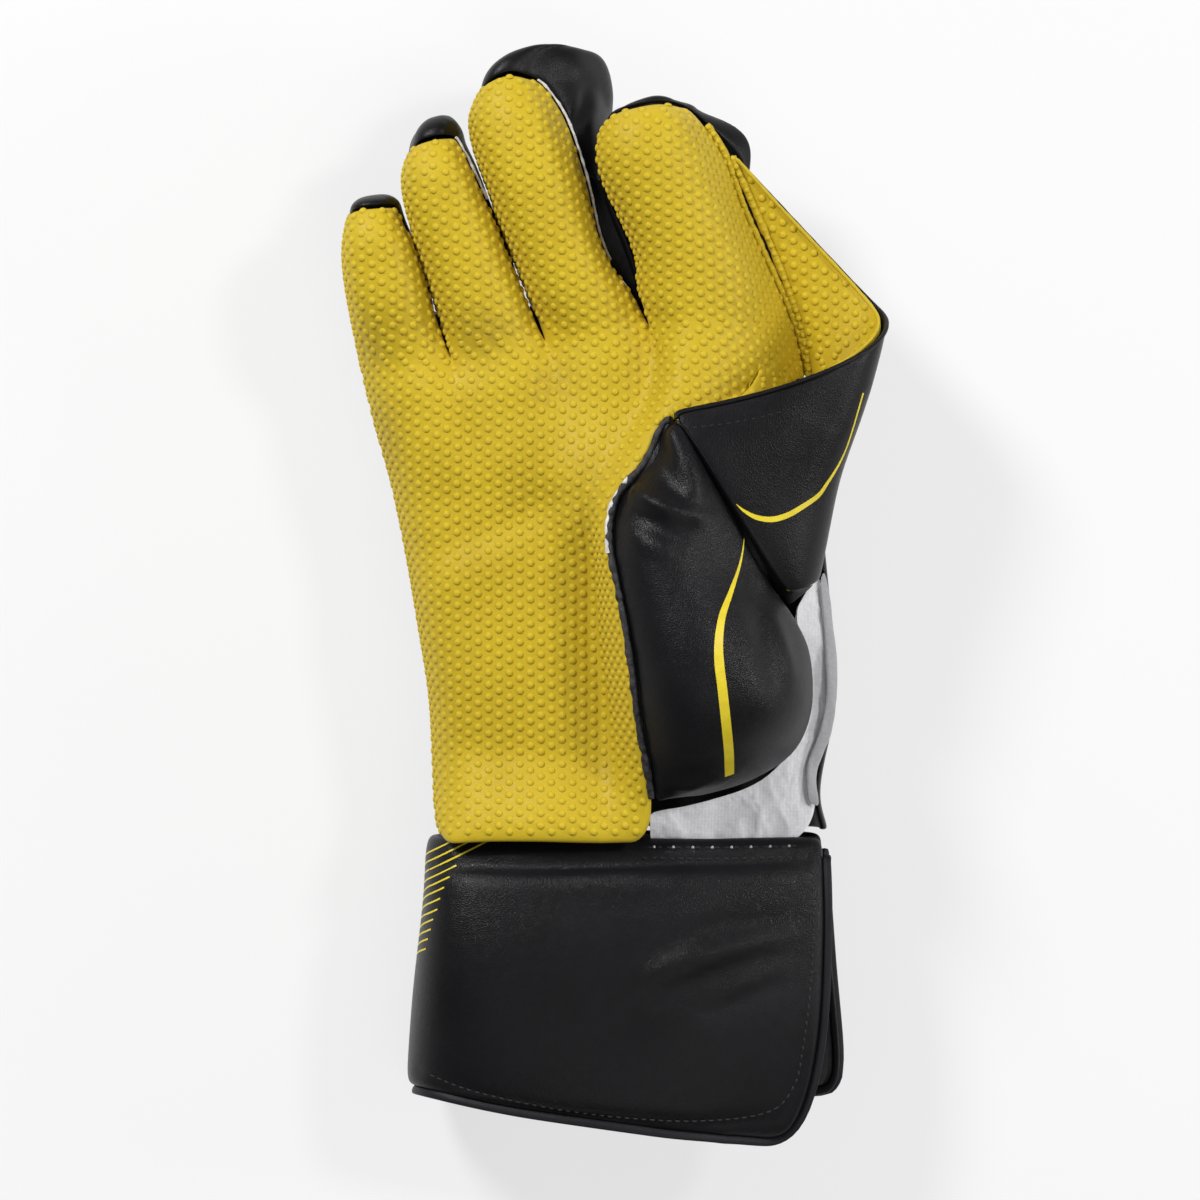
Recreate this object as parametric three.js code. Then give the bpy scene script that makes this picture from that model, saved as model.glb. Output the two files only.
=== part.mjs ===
// A right-hand wicketkeeping glove, lying on its back with the palm up.
// Millimetres. X is across the hand with the thumb at +X, Y runs from the cuff to the fingertips,
// Z is up, out of the palm. Every piece is a sheet of rubber, leather or cotton with a real wall,
// so the glove is hollow from the mouth of its cuff to its fingertips.
import * as THREE from 'three';

// Driving sizes
const HAND_LENGTH = 246; // from the cuff seam to the tip of the middle stall
const HAND_WIDTH = 123; // across the four fingers at the knuckles
const HAND_DEPTH = 50; // from the surface under the glove to the palm
const CUFF_LENGTH = 97;
const CUFF_WIDTH = 128;
const CUFF_DEPTH = 58;

const RUBBER_WALL = 2.4;
const LEATHER_WALL = 1.6;
const WEB_RUBBER_WALL = 1.2;
const WEB_LEATHER_WALL = 1.2;
const BACK_WALL = 2.6; // padded leather on the back of the hand
const THUMB_WALL = 3;
const CUFF_WALL = 6;
const COTTON_WALL = 1;
const TAPE_WALL = 1.2;
const TAPE_WIDTH = 4;
const WELT_RADIUS = 1.9;
const WELT_GAP = 0.6; // the welt's roll stands this far off the panel's cut edge
const SEAM_GAP = 0.4; // between two pieces that are sewn edge to edge
const LAYER_GAP = 0.3; // between two layers that lie on each other
const CAP_GAP = 0.6; // between the rubber's end on a stall and the leather cap over the tip
const THUMB_GAP = 1.2; // the thumb's leather starts this far beside the rubber's edge
const TAPE_LIFT = 1.6; // the tape stands this far off the gusset, over its bulge

// How far a curve runs straight out of its ends, as a share of its chord
const ROUNDNESS = 0.42;
const FLAT_ROUNDNESS = 0.33;
const WEB_ROUNDNESS = 0.36;
const FULL_ROUNDNESS = 0.5;
const HALF_STRIP = 4; // facets across half a finger
const BACK_FACETS = 6; // facets down each side of a stall's back
const CAP_RINGS = 4;
const CAP_BLUNTNESS = 0.7; // 1 is a round cap, less is a blunter one

const X = new THREE.Vector3(1, 0, 0);
const Y = new THREE.Vector3(0, 1, 0);

// A point of the hand from shares of its width, length and depth
const hand = (across, along, up) =>
  new THREE.Vector3(across * HAND_WIDTH, along * HAND_LENGTH, up * HAND_DEPTH);

// A direction in the cross-section, in degrees: 0 is +X, 90 is up
const heading = (degrees) => {
  const angle = THREE.MathUtils.degToRad(degrees);
  return new THREE.Vector3(Math.cos(angle), 0, Math.sin(angle));
};

// The outward side of a surface that is followed along a heading
const outward = (degrees) => heading(degrees + 90);

// A point on a cross-section, with the outward direction there where it is known
function knot(point, out = null) {
  return { point, out };
}

// The points of one curve between two ends, each left or met along its heading in the
// cross-section. Up the hand, the points climb evenly along the curve.
function arc(from, leave, to, arrive, facets, roundness = ROUNDNESS) {
  const [start, end] = [from.clone().setY(0), to.clone().setY(0)];
  const reach = start.distanceTo(end) * roundness;
  const points = new THREE.CubicBezierCurve3(
    start,
    start.clone().addScaledVector(heading(leave), reach),
    end.clone().addScaledVector(heading(arrive), -reach),
    end,
  ).getPoints(facets);
  const steps = points.map((p, i) => (i ? p.distanceTo(points[i - 1]) : 0));
  const length = steps.reduce((sum, step) => sum + step, 0);
  let gone = 0;
  const knots = points.map((p, i) => {
    gone += steps[i];
    return knot(p.setY(THREE.MathUtils.lerp(from.y, to.y, gone / length)));
  });
  knots[0].out = outward(leave);
  knots[facets].out = outward(arrive);
  return knots;
}

// For rows that run the other way round, so that their outside is on their other hand
const turned = (row) => row.map((k) => knot(k.point, k.out && k.out.clone().negate()));

// Joins curves that follow each other into one row, each shared end once
function chain(...arcs) {
  return arcs.flatMap((knots, i) => (i ? knots.slice(1) : knots));
}

// The smooth value between b and c, where a and d are their outer neighbours
function blend(a, b, c, d, t) {
  const bend = (p, q, r, s) =>
    0.5 * (2 * q + (r - p) * t + (2 * p - 5 * q + 4 * r - s) * t * t
      + (3 * q - p - 3 * r + s) * t * t * t);
  return new THREE.Vector3(
    bend(a.x, b.x, c.x, d.x),
    bend(a.y, b.y, c.y, d.y),
    bend(a.z, b.z, c.z, d.z),
  );
}

// Rows of knots between key rows, so many to each span; before and after only guide the ends
function loft(keys, rowsPerSpan, before = null, after = null) {
  const rows = [];
  for (let k = 0; k + 1 < keys.length; k += 1) {
    const a = keys[k - 1] ?? before ?? keys[k];
    const d = keys[k + 2] ?? after ?? keys[k + 1];
    for (let step = 0; step < rowsPerSpan; step += 1) {
      const t = step / rowsPerSpan;
      rows.push(keys[k].map((start, i) => {
        const end = keys[k + 1][i];
        const point = blend(a[i].point, start.point, end.point, d[i].point, t);
        const out = start.out && end.out ? start.out.clone().lerp(end.out, t).normalize() : null;
        return knot(point, out);
      }));
    }
  }
  rows.push(keys[keys.length - 1]);
  return rows;
}

// A surface of patches, merged where they meet, that becomes a closed sheet with a wall
class Sheet {
  constructor() {
    this.points = [];
    this.outs = [];
    this.faces = [];
    this.index = new Map();
  }

  add({ point, out }) {
    const key = [point.x, point.y, point.z].map((v) => Math.round(v * 1000)).join(' ');
    if (!this.index.has(key)) {
      this.index.set(key, this.points.length);
      this.points.push(point);
      this.outs.push(null);
    }
    const i = this.index.get(key);
    if (out) this.outs[i] = (this.outs[i] ?? new THREE.Vector3()).clone().add(out);
    return i;
  }

  face(a, b, c) {
    if (a !== b && b !== c && c !== a) this.faces.push([a, b, c]);
  }

  // Rows of knots; the outside is on the side of (along the row) x (from row to row)
  patch(rows) {
    const ids = rows.map((row) => row.map((k) => this.add(k)));
    for (let r = 0; r + 1 < ids.length; r += 1) {
      for (let c = 0; c + 1 < ids[r].length; c += 1) {
        const [a, b, d, e] = [ids[r][c], ids[r][c + 1], ids[r + 1][c], ids[r + 1][c + 1]];
        const [pa, pb, pd, pe] = [a, b, d, e].map((i) => this.points[i]);
        if (pa.distanceTo(pe) <= pb.distanceTo(pd)) {
          this.face(a, b, e);
          this.face(a, e, d);
        } else {
          this.face(a, b, d);
          this.face(b, e, d);
        }
      }
    }
    return this;
  }

  // The outward direction at each point, from its faces unless it was given
  directions() {
    const sums = this.points.map(() => new THREE.Vector3());
    for (const [a, b, c] of this.faces) {
      const p = this.points[a];
      const normal = this.points[b].clone().sub(p).cross(this.points[c].clone().sub(p));
      for (const i of [a, b, c]) sums[i].add(normal);
    }
    return sums.map((sum, i) => (this.outs[i] ?? sum).clone().normalize());
  }

  // A closed solid between two depths under the surface
  solid(name, material, wall, depth = 0) {
    const directions = this.directions();
    const count = this.points.length;
    const layer = (d) => this.points.map((p, i) => p.clone().addScaledVector(directions[i], -d));
    const all = [...layer(depth), ...layer(depth + wall)];
    const triangles = [];
    const edges = new Set();
    for (const [a, b, c] of this.faces) {
      triangles.push([a, b, c], [a + count, c + count, b + count]);
      for (const [p, q] of [[a, b], [b, c], [c, a]]) edges.add(`${p} ${q}`);
    }
    for (const edge of edges) {
      const [p, q] = edge.split(' ').map(Number);
      if (!edges.has(`${q} ${p}`)) {
        triangles.push([q, p, p + count], [q, p + count, q + count]);
      }
    }
    return meshOf(name, material, all, triangles);
  }
}

function meshOf(name, material, points, triangles) {
  const geometry = new THREE.BufferGeometry();
  geometry.setAttribute('position', new THREE.Float32BufferAttribute(
    points.flatMap((p) => [p.x, p.y, p.z]), 3));
  geometry.setIndex(triangles.flat());
  geometry.computeVertexNormals();
  const mesh = new THREE.Mesh(geometry, material);
  mesh.name = name;
  return mesh;
}

const finish = (color, roughness) => new THREE.MeshStandardMaterial({
  color, roughness, metalness: 0, flatShading: true,
});
const yellowRubber = finish(0xdebe28, 0.62);
const blackLeather = finish(0x1c1a1e, 0.38);
const blackWelt = finish(0x17161a, 0.42);
const whiteCotton = finish(0xe4e2e5, 0.95);
const biasTape = finish(0xc9c7cb, 0.9);

// Tables name their columns once; each row becomes an object
function table(columns, rows) {
  const names = columns.split(' ');
  return rows.map((row) => Object.fromEntries(names.map((name, i) => [name, row[i]])));
}

// The palm, from the cuff to the thumb tip. Lines run up the hand: x0 the ulnar side, x1 to x3 the
// lines that part the fingers, x4 the thumb seam. z0 to z4 are their heights, all shares of the
// hand's width and depth. foot is the slope where the thumb wall starts, head where it ends.
const PALM = table('along x0 x1 x2 x3 x4 z0 z1 z2 z3 z4 foot head', [
  [0.000, -0.426, -0.310, -0.177, -0.045, 0.055, 0.93, 1.08, 1.12, 1.12, 1.13, 0, 0],
  [0.020, -0.447, -0.312, -0.173, -0.035, 0.087, 0.76, 1.09, 1.14, 1.13, 1.16, 4, 4],
  [0.054, -0.455, -0.312, -0.167, -0.022, 0.087, 0.50, 1.04, 1.09, 1.07, 1.20, 30, 28],
  [0.107, -0.458, -0.312, -0.162, -0.008, 0.067, 0.44, 0.93, 0.96, 0.97, 1.32, 62, 60],
  [0.179, -0.462, -0.320, -0.172, -0.025, 0.042, 0.44, 0.98, 1.02, 1.00, 1.46, 68, 66],
  [0.254, -0.488, -0.342, -0.192, -0.045, 0.025, 0.44, 0.98, 1.03, 1.00, 1.50, 70, 66],
  [0.329, -0.512, -0.362, -0.210, -0.055, -0.005, 0.44, 0.98, 1.02, 1.02, 1.46, 66, 62],
  [0.372, -0.530, -0.375, -0.217, -0.062, -0.025, 0.44, 0.98, 1.01, 1.08, 1.40, 52, 48],
  [0.429, -0.555, -0.387, -0.222, -0.087, -0.020, 0.44, 0.94, 0.99, 1.16, 1.34, 32, 28],
  [0.461, -0.570, -0.395, -0.212, -0.047, 0.052, 0.45, 0.99, 1.05, 1.18, 1.34, 20, 20],
  [0.504, -0.595, -0.400, -0.192, 0.002, 0.092, 0.46, 1.00, 1.06, 1.14, 1.30, 14, 10],
  [0.537, -0.612, -0.400, -0.175, 0.052, 0.132, 0.46, 1.00, 1.04, 1.10, 1.30, 14, 4],
]);
const SIDE_TURN = 95; // the palm leaves its ulnar seam a little past upright

// The foot of the fingers. Each line has its own height up the hand. crown is the index's top.
const KNUCKLES = [
  { l: [0.572, 0.572, 0.575, 0.580], x: [-0.628, -0.405, -0.165, 0.078], z: [0.46, 0.96, 1.01, 1.06],
    crown: [0.190, 0.590, 1.24], radial: [0.482, 0.600, 0.60], dip: 14 },
  { l: [0.600, 0.600, 0.625, 0.645], x: [-0.642, -0.410, -0.172, 0.085], z: [0.46, 0.88, 0.92, 0.96],
    crown: [0.212, 0.645, 1.20], radial: [0.462, 0.640, 0.62], dip: 34 },
];
const RADIAL_TURN = -58; // the index leans over towards its radial seam
const WEB_CORNER = [0.492, 0.572, 0.60]; // where the index seam goes under the web

// The finger fronts from their feet to their tips. l, r and c are the left seam, right seam and
// crown; each has its place across, along and up. lt and rt are the headings at the seams, side is
// the heading of the leather back where it leaves the right seam, and belly its lowest height. turn
// is the back's heading where it meets the left seam, if that isn't lt.
const STALL = 'lx ly lz lt cx cy cz rx ry rz rt side belly lean turn';
const FINGERS = {
  little: { cap: 0.018, capShift: 0.010, rows: table(STALL, [
    [-0.665, 0.666, 0.48, 95, -0.557, 0.664, 1.02, -0.455, 0.666, 0.74, -78, -88, 0.14, 0],
    [-0.680, 0.716, 0.48, 95, -0.575, 0.714, 1.04, -0.480, 0.716, 0.72, -78, -88, 0.18, 0],
    [-0.682, 0.754, 0.52, 92, -0.590, 0.757, 1.05, -0.513, 0.758, 0.76, -72, -85, 0.26, 0],
    [-0.672, 0.784, 0.60, 84, -0.608, 0.796, 0.96, -0.546, 0.798, 0.80, -60, -80, 0.34, 0],
  ]) },
  ring: { cap: 0.034, capShift: 0.015, rows: table(STALL, [
    [-0.440, 0.660, 0.66, 88, -0.320, 0.667, 1.08, -0.218, 0.672, 0.80, -80, -90, 0.14, 0],
    [-0.480, 0.727, 0.60, 92, -0.367, 0.732, 1.10, -0.266, 0.735, 0.80, -76, -88, 0.18, 0],
    [-0.522, 0.790, 0.60, 94, -0.417, 0.795, 1.11, -0.316, 0.800, 0.84, -70, -85, 0.24, 0],
    [-0.534, 0.836, 0.62, 92, -0.443, 0.845, 1.10, -0.362, 0.850, 0.88, -62, -82, 0.28, 0],
    [-0.516, 0.862, 0.70, 80, -0.450, 0.882, 1.00, -0.398, 0.884, 0.88, -50, -80, 0.34, 0],
  ]) },
  middle: { cap: 0.050, capShift: 0.120, rows: table(STALL, [
    [-0.205, 0.672, 0.70, 90, -0.075, 0.680, 1.13, 0.044, 0.682, 0.80, -82, -90, 0.14, 0],
    [-0.250, 0.735, 0.62, 93, -0.132, 0.742, 1.16, -0.030, 0.748, 0.82, -76, -86, 0.16, 0],
    [-0.302, 0.797, 0.60, 94, -0.175, 0.805, 1.17, -0.058, 0.812, 0.86, -66, -72, 0.18, 0.01],
    [-0.350, 0.860, 0.60, 94, -0.220, 0.868, 1.16, -0.096, 0.875, 0.88, -52, -40, 0.16, 0.09],
    [-0.368, 0.906, 0.62, 92, -0.250, 0.920, 1.12, -0.134, 0.920, 0.86, -42, -22, 0.18, 0.16],
    [-0.345, 0.935, 0.70, 75, -0.270, 0.962, 1.02, -0.190, 0.955, 0.86, -34, -12, 0.22, 0.20],
  ]) },
  index: { cap: 0.012, capShift: 0.020, rows: table(STALL, [
    [0.067, 0.682, 0.84, 88, 0.218, 0.685, 1.22, 0.425, 0.690, 0.66, -60, -98, 0.16, 0, 70],
    [0.043, 0.742, 0.82, 92, 0.188, 0.745, 1.26, 0.368, 0.750, 0.72, -60, -96, 0.24, 0, 56],
    [-0.016, 0.803, 0.88, 94, 0.142, 0.805, 1.30, 0.313, 0.810, 0.78, -58, -84, 0.38, 0, 66],
    [-0.052, 0.852, 0.96, 94, 0.108, 0.858, 1.33, 0.278, 0.860, 0.84, -55, -62, 0.52, 0],
    [-0.040, 0.892, 1.00, 90, 0.100, 0.906, 1.29, 0.226, 0.900, 0.90, -50, -60, 0.60, 0],
    [-0.010, 0.908, 1.00, 75, 0.100, 0.925, 1.16, 0.186, 0.920, 0.92, -42, -56, 0.68, 0],
  ]) },
};
const TIP_TURN = -5; // a stall falls slightly to its radial side at the crown

// Cross-sections of the palm
function palmRow(s) {
  const line = (i) => hand(s[`x${i}`], s.along, s[`z${i}`]);
  const across = 2 * HALF_STRIP;
  return {
    main: chain(
      arc(line(0), SIDE_TURN, line(1), 6, across),
      arc(line(1), 6, line(2), 0, across),
      arc(line(2), 0, line(3), -2, across),
    ),
    wall: arc(line(3), s.foot, line(4), s.head, HALF_STRIP, FLAT_ROUNDNESS),
  };
}

function knuckleRow(s) {
  const line = (i) => hand(s.x[i], s.l[i], s.z[i]);
  const crown = hand(s.crown[0], s.crown[1], s.crown[2]);
  const radial = hand(s.radial[0], s.radial[1], s.radial[2]);
  const across = 2 * HALF_STRIP;
  return {
    main: chain(
      arc(line(0), SIDE_TURN, line(1), -s.dip, across),
      arc(line(1), s.dip, line(2), -s.dip, across),
      arc(line(2), s.dip, line(3), -s.dip, across),
    ),
    wall: arc(line(3), s.dip, crown, TIP_TURN, HALF_STRIP),
    side: arc(crown, TIP_TURN, radial, RADIAL_TURN, HALF_STRIP),
  };
}

function stallRow(s) {
  const left = hand(s.lx, s.ly, s.lz);
  const crown = hand(s.cx, s.cy, s.cz);
  const right = hand(s.rx, s.ry, s.rz);
  return chain(
    arc(left, s.lt, crown, TIP_TURN, HALF_STRIP, FULL_ROUNDNESS),
    arc(crown, TIP_TURN, right, s.rt, HALF_STRIP, FULL_ROUNDNESS),
  );
}

// Lays every knot's outward direction in the cross-section, for a row that is an open edge.
// side is -1 for a turned row.
function squareEdge(row, side = 1) {
  return row.map((k, i) => {
    if (k.out) return k;
    const along = row[i + 1].point.clone().sub(row[i - 1].point).setY(0);
    return knot(k.point, new THREE.Vector3(-along.z, 0, along.x).normalize().multiplyScalar(side));
  });
}

const palmKeys = PALM.map(palmRow);
const knuckleKeys = KNUCKLES.map(knuckleRow);
const stallKeys = Object.fromEntries(
  Object.entries(FINGERS).map(([name, finger]) => [name, finger.rows.map(stallRow)]));

// The first row of each stall is cut out of the last row across the knuckles
function footRow(name) {
  const across = 2 * HALF_STRIP;
  const last = knuckleKeys[knuckleKeys.length - 1];
  const place = ['little', 'ring', 'middle'].indexOf(name);
  if (place < 0) return chain(last.wall, last.side);
  return last.main.slice(place * across, place * across + across + 1);
}

function withFoot(name) {
  return [footRow(name), ...stallKeys[name]];
}

// Palm and finger fronts in one sheet of rubber
const PALM_ROWS = 1;
const STALL_ROWS = 2;

function palmSheet() {
  const sheet = new Sheet();
  const rowsUp = [...palmKeys.map((k) => k.main), ...knuckleKeys.map((k) => k.main)];
  rowsUp[0] = squareEdge(rowsUp[0]);
  const fingersAfter = chain(...['little', 'ring', 'middle'].map((n) => stallKeys[n][0]));
  sheet.patch(loft(rowsUp, PALM_ROWS, null, fingersAfter));

  const wallUp = [...palmKeys.map((k) => k.wall), ...knuckleKeys.map((k) => k.wall)];
  wallUp[0] = squareEdge(wallUp[0]);
  sheet.patch(loft(wallUp, PALM_ROWS, null, stallKeys.index[0].slice(0, HALF_STRIP + 1)));

  const crotch = palmKeys[palmKeys.length - 1].wall[HALF_STRIP].point;
  const corner = hand(...WEB_CORNER);
  const sideUp = [
    arc(crotch, -8, corner, RADIAL_TURN, HALF_STRIP),
    ...knuckleKeys.map((k) => k.side),
  ];
  sheet.patch(loft(sideUp, PALM_ROWS, null, stallKeys.index[0].slice(HALF_STRIP)));

  sheet.patch(loft(pocketWall(sideUp[0]).reverse(), 2, null, sideUp[1]));
  for (const name of Object.keys(FINGERS)) {
    const keys = withFoot(name);
    keys[keys.length - 1] = squareEdge(keys[keys.length - 1]);
    sheet.patch(loft(keys, STALL_ROWS));
  }
  return sheet;
}

// The web is a sheet folded like a paper cone. Its mouth runs from the index tip (a) round the
// spine (s) to the thumb tip (t), and its rows go down from the mouth to the bottom of the pocket.
// sag is how far the front of a row hangs below its chord, as a share of the hand's length. Seen
// from above, the back of a row is straight.
const WEB = table('ax ay az sx sy sz tx ty tz sag', [
  [0.276, 0.872, 0.78, 0.686, 0.654, 0.96, 0.142, 0.536, 1.40, 0.022],
  [0.352, 0.790, 0.70, 0.662, 0.600, 0.98, 0.170, 0.515, 1.44, 0.018],
  [0.430, 0.700, 0.62, 0.618, 0.530, 1.00, 0.225, 0.475, 1.47, 0.010],
  [0.484, 0.610, 0.56, 0.566, 0.460, 1.00, 0.300, 0.412, 1.46, 0.004],
  [0.486, 0.500, 0.56, 0.536, 0.390, 1.00, 0.375, 0.352, 1.40, 0],
  [0.468, 0.400, 0.62, 0.512, 0.330, 1.00, 0.430, 0.312, 1.30, 0],
]);
const WEB_BACK_FACETS = 5;
const WEB_FRONT_FACETS = 7;
const WEB_ROWS = 2;
const WEB_CLEAR = 7.5; // the pocket's inner wall keeps this far from the web's two edges

function webRow(s) {
  const back = hand(s.ax, s.ay, s.az);
  const spine = hand(s.sx, s.sy, s.sz);
  const front = hand(s.tx, s.ty, s.tz);
  const row = turned(chain(
    arc(back, -12, spine, 88, WEB_BACK_FACETS, WEB_ROUNDNESS),
    arc(spine, 88, front, 172, WEB_FRONT_FACETS, WEB_ROUNDNESS),
  ));
  row.forEach((k, i) => {
    if (i < WEB_BACK_FACETS) {
      const gone = (k.point.x - back.x) / (spine.x - back.x);
      k.point.y = THREE.MathUtils.lerp(back.y, spine.y, gone);
    }
    const share = Math.max(0, (i - WEB_BACK_FACETS) / WEB_FRONT_FACETS);
    k.point.y -= s.sag * HAND_LENGTH * Math.sin(Math.PI * share);
  });
  return row;
}

// The hidden side of the pocket, from the thumb's crease down to the index seam
function pocketWall(top) {
  return [top, ...WEB.slice(2, 5).map((s) => {
    const crease = hand(s.tx, s.ty, s.tz);
    const seam = hand(s.ax, s.ay, s.az);
    const along = seam.clone().sub(crease).normalize();
    const from = crease.clone().addScaledVector(along, WEB_CLEAR);
    const to = seam.clone().addScaledVector(along, -WEB_CLEAR);
    return arc(from, -20, to, -62, HALF_STRIP);
  })];
}

const webSheet = new Sheet().patch(loft(WEB.map(webRow), WEB_ROWS));

// The leather back of a stall: down from the right seam, under the finger and up to the left seam,
// then a rounded cap over the tip
function backRow(s, row) {
  const right = row[row.length - 1];
  const left = row[0];
  const undercut = RUBBER_WALL * Math.abs(Math.sin(THREE.MathUtils.degToRad(s.rt - s.side)));
  const from = right.point.clone().addScaledVector(heading(s.side), SEAM_GAP + undercut);
  const arrive = s.turn ?? s.lt;
  const tuck = RUBBER_WALL * Math.abs(Math.sin(THREE.MathUtils.degToRad(s.lt - arrive)));
  const to = left.point.clone().addScaledVector(heading(arrive), -2 * SEAM_GAP - tuck);
  const middle = (from.x + to.x) / 2 + s.lean * HAND_WIDTH;
  const bottom = new THREE.Vector3(middle, (from.y + to.y) / 2, s.belly * HAND_DEPTH);
  return chain(
    arc(from, s.side, bottom, 180, BACK_FACETS, FULL_ROUNDNESS),
    arc(bottom, 180, to, arrive, BACK_FACETS, FULL_ROUNDNESS),
  );
}

function stallBack(name) {
  const { rows, cap, capShift } = FINGERS[name];
  const keys = rows.map((s, i) => backRow(s, stallKeys[name][i]));
  const end = keys.length - 1;
  const front = squareEdge(stallKeys[name][end]);
  const sheet = new Sheet();
  keys[0] = squareEdge(keys[0]);
  sheet.patch(loft(keys, STALL_ROWS));

  // The cap starts just past the rubber's end and follows it round
  const past = front.slice(1, -1).map((k) =>
    knot(k.point.clone().addScaledVector(Y, CAP_GAP), k.out));
  const last = keys[end];
  const ring = [last[last.length - 1], ...past, ...last];
  const centre = ring.reduce((sum, k) => sum.add(k.point), new THREE.Vector3())
    .multiplyScalar(1 / ring.length)
    .addScaledVector(X, capShift * HAND_WIDTH);
  const reach = cap * HAND_LENGTH;
  const rings = [ring];
  for (let step = 1; step <= CAP_RINGS; step += 1) {
    const angle = (step / CAP_RINGS) * Math.PI / 2;
    const shrink = Math.cos(angle) ** CAP_BLUNTNESS;
    const lift = Math.sin(angle) * reach;
    rings.push(ring.map(({ point }) =>
      knot(centre.clone().lerp(point, shrink).addScaledVector(Y, lift))));
  }
  sheet.patch(rings);
  return sheet.solid(`${name}_back`, blackLeather, LEATHER_WALL);
}

// The back of the hand. Its ulnar edge is the palm's, its radial edge is in this table: x across,
// z up. belly is its lowest height; it lies flat where that is 0.
const HAND_BACK = table('along x z belly tuck', [
  [0.0135, 0.535, 0.64, 0.02, 0.10],
  [0.020, 0.535, 0.63, 0.01, 0.10],
  [0.054, 0.512, 0.58, 0, 0.10],
  [0.107, 0.532, 0.56, 0, 0.10],
  [0.179, 0.568, 0.58, 0, 0.10],
  [0.254, 0.556, 0.56, 0, 0.10],
  [0.329, 0.538, 0.54, 0, 0.10],
  [0.429, 0.522, 0.48, 0, 0.10],
  [0.537, 0.502, 0.44, 0.03, 0.11],
  [0.596, 0.470, 0.44, 0.08, 0.12],
]);
const BACK_FLAT_FACETS = 6;
const BACK_SIDE_FACETS = 5;

// The palm's ulnar edge at a share of the hand's length
function ulnarEdge(along) {
  const rows = [
    ...PALM.map((s) => [s.along, s.x0, s.z0]),
    ...KNUCKLES.map((s) => [s.l[0], s.x[0], s.z[0]]),
  ];
  const next = Math.max(1, rows.findIndex((row) => row[0] >= along));
  const [a, b] = [rows[next - 1], rows[next]];
  const t = (along - a[0]) / (b[0] - a[0]);
  const mix = (i) => a[i] + (b[i] - a[i]) * t;
  return hand(mix(1), along, mix(2));
}

function handBack() {
  const keys = HAND_BACK.map((s) => {
    const edge = ulnarEdge(Math.min(s.along, KNUCKLES[1].l[0] - 0.004));
    const to = edge.clone().addScaledVector(heading(SIDE_TURN), -SEAM_GAP);
    const from = hand(s.x, s.along, s.z);
    const rise = s.belly * HAND_DEPTH;
    const right = new THREE.Vector3(from.x - s.tuck * HAND_WIDTH, from.y, rise);
    const left = new THREE.Vector3(to.x + s.tuck * HAND_WIDTH, to.y, rise);
    return chain(
      arc(from, -92, right, 180, BACK_SIDE_FACETS, FULL_ROUNDNESS),
      arc(right, 180, left, 180, BACK_FLAT_FACETS, FLAT_ROUNDNESS),
      arc(left, 180, to, SIDE_TURN, BACK_SIDE_FACETS, FULL_ROUNDNESS),
    );
  });
  keys[0] = squareEdge(keys[0]);
  keys[keys.length - 1] = squareEdge(keys[keys.length - 1]);
  return new Sheet().patch(loft(keys, 1)).solid('hand_back', blackLeather, BACK_WALL);
}

// The padded lobe of the thumb, from the cuff up to the thumb's tip. Its left edge is the palm's
// thumb seam; r is its right edge, in the web's crease and then round the outside. leave and
// arrive are the headings at the two edges, and round is the curve's roundness.
const THUMB = table('ly rx ry rz leave arrive round', [
  [0.050, 0.200, 0.054, 1.02, 8, -30, 0.30],
  [0.075, 0.360, 0.078, 0.94, 30, -62, 0.42],
  [0.107, 0.462, 0.112, 0.88, 52, -82, 0.52],
  [0.145, 0.492, 0.152, 0.86, 58, -92, 0.56],
  [0.179, 0.500, 0.190, 0.86, 60, -96, 0.56],
  [0.222, 0.494, 0.234, 0.88, 60, -96, 0.54],
  [0.270, 0.462, 0.276, 1.02, 60, -80, 0.50],
  [0.329, 0.392, 0.326, 1.30, 60, -44, 0.48],
  [0.372, 0.340, 0.370, 1.38, 60, -40, 0.50],
  [0.429, 0.276, 0.426, 1.43, 64, -42, 0.56],
  [0.461, 0.236, 0.458, 1.44, 64, -42, 0.58],
  [0.504, 0.172, 0.502, 1.43, 62, -40, 0.60],
  [0.528, 0.158, 0.520, 1.42, 34, -20, 0.40],
]);
const THUMB_FACETS = 10;

// A point of the palm's thumb seam at a share of the hand's length
function thumbSeam(along) {
  const next = Math.max(1, PALM.findIndex((s) => s.along >= along));
  const [a, b] = [PALM[next - 1], PALM[next]];
  const t = (along - a.along) / (b.along - a.along);
  const mix = (name) => a[name] + (b[name] - a[name]) * t;
  return { point: hand(mix('x4'), along, mix('z4')), head: mix('head') };
}

function thumbRow(s) {
  const seam = thumbSeam(s.ly);
  const from = seam.point.clone()
    .addScaledVector(heading(seam.head), SEAM_GAP)
    .addScaledVector(X, THUMB_GAP);
  const to = hand(s.rx, s.ry, s.rz);
  const row = arc(from, s.leave, to, s.arrive, THUMB_FACETS, s.round);
  row[0].out = outward(seam.head);
  return row;
}

const thumbKeys = THUMB.map(thumbRow);

function thumbBack() {
  const keys = [...thumbKeys];
  keys[0] = squareEdge(keys[0]);
  return new Sheet().patch(loft(keys, 1)).solid('thumb_back', blackLeather, THUMB_WALL);
}

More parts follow.
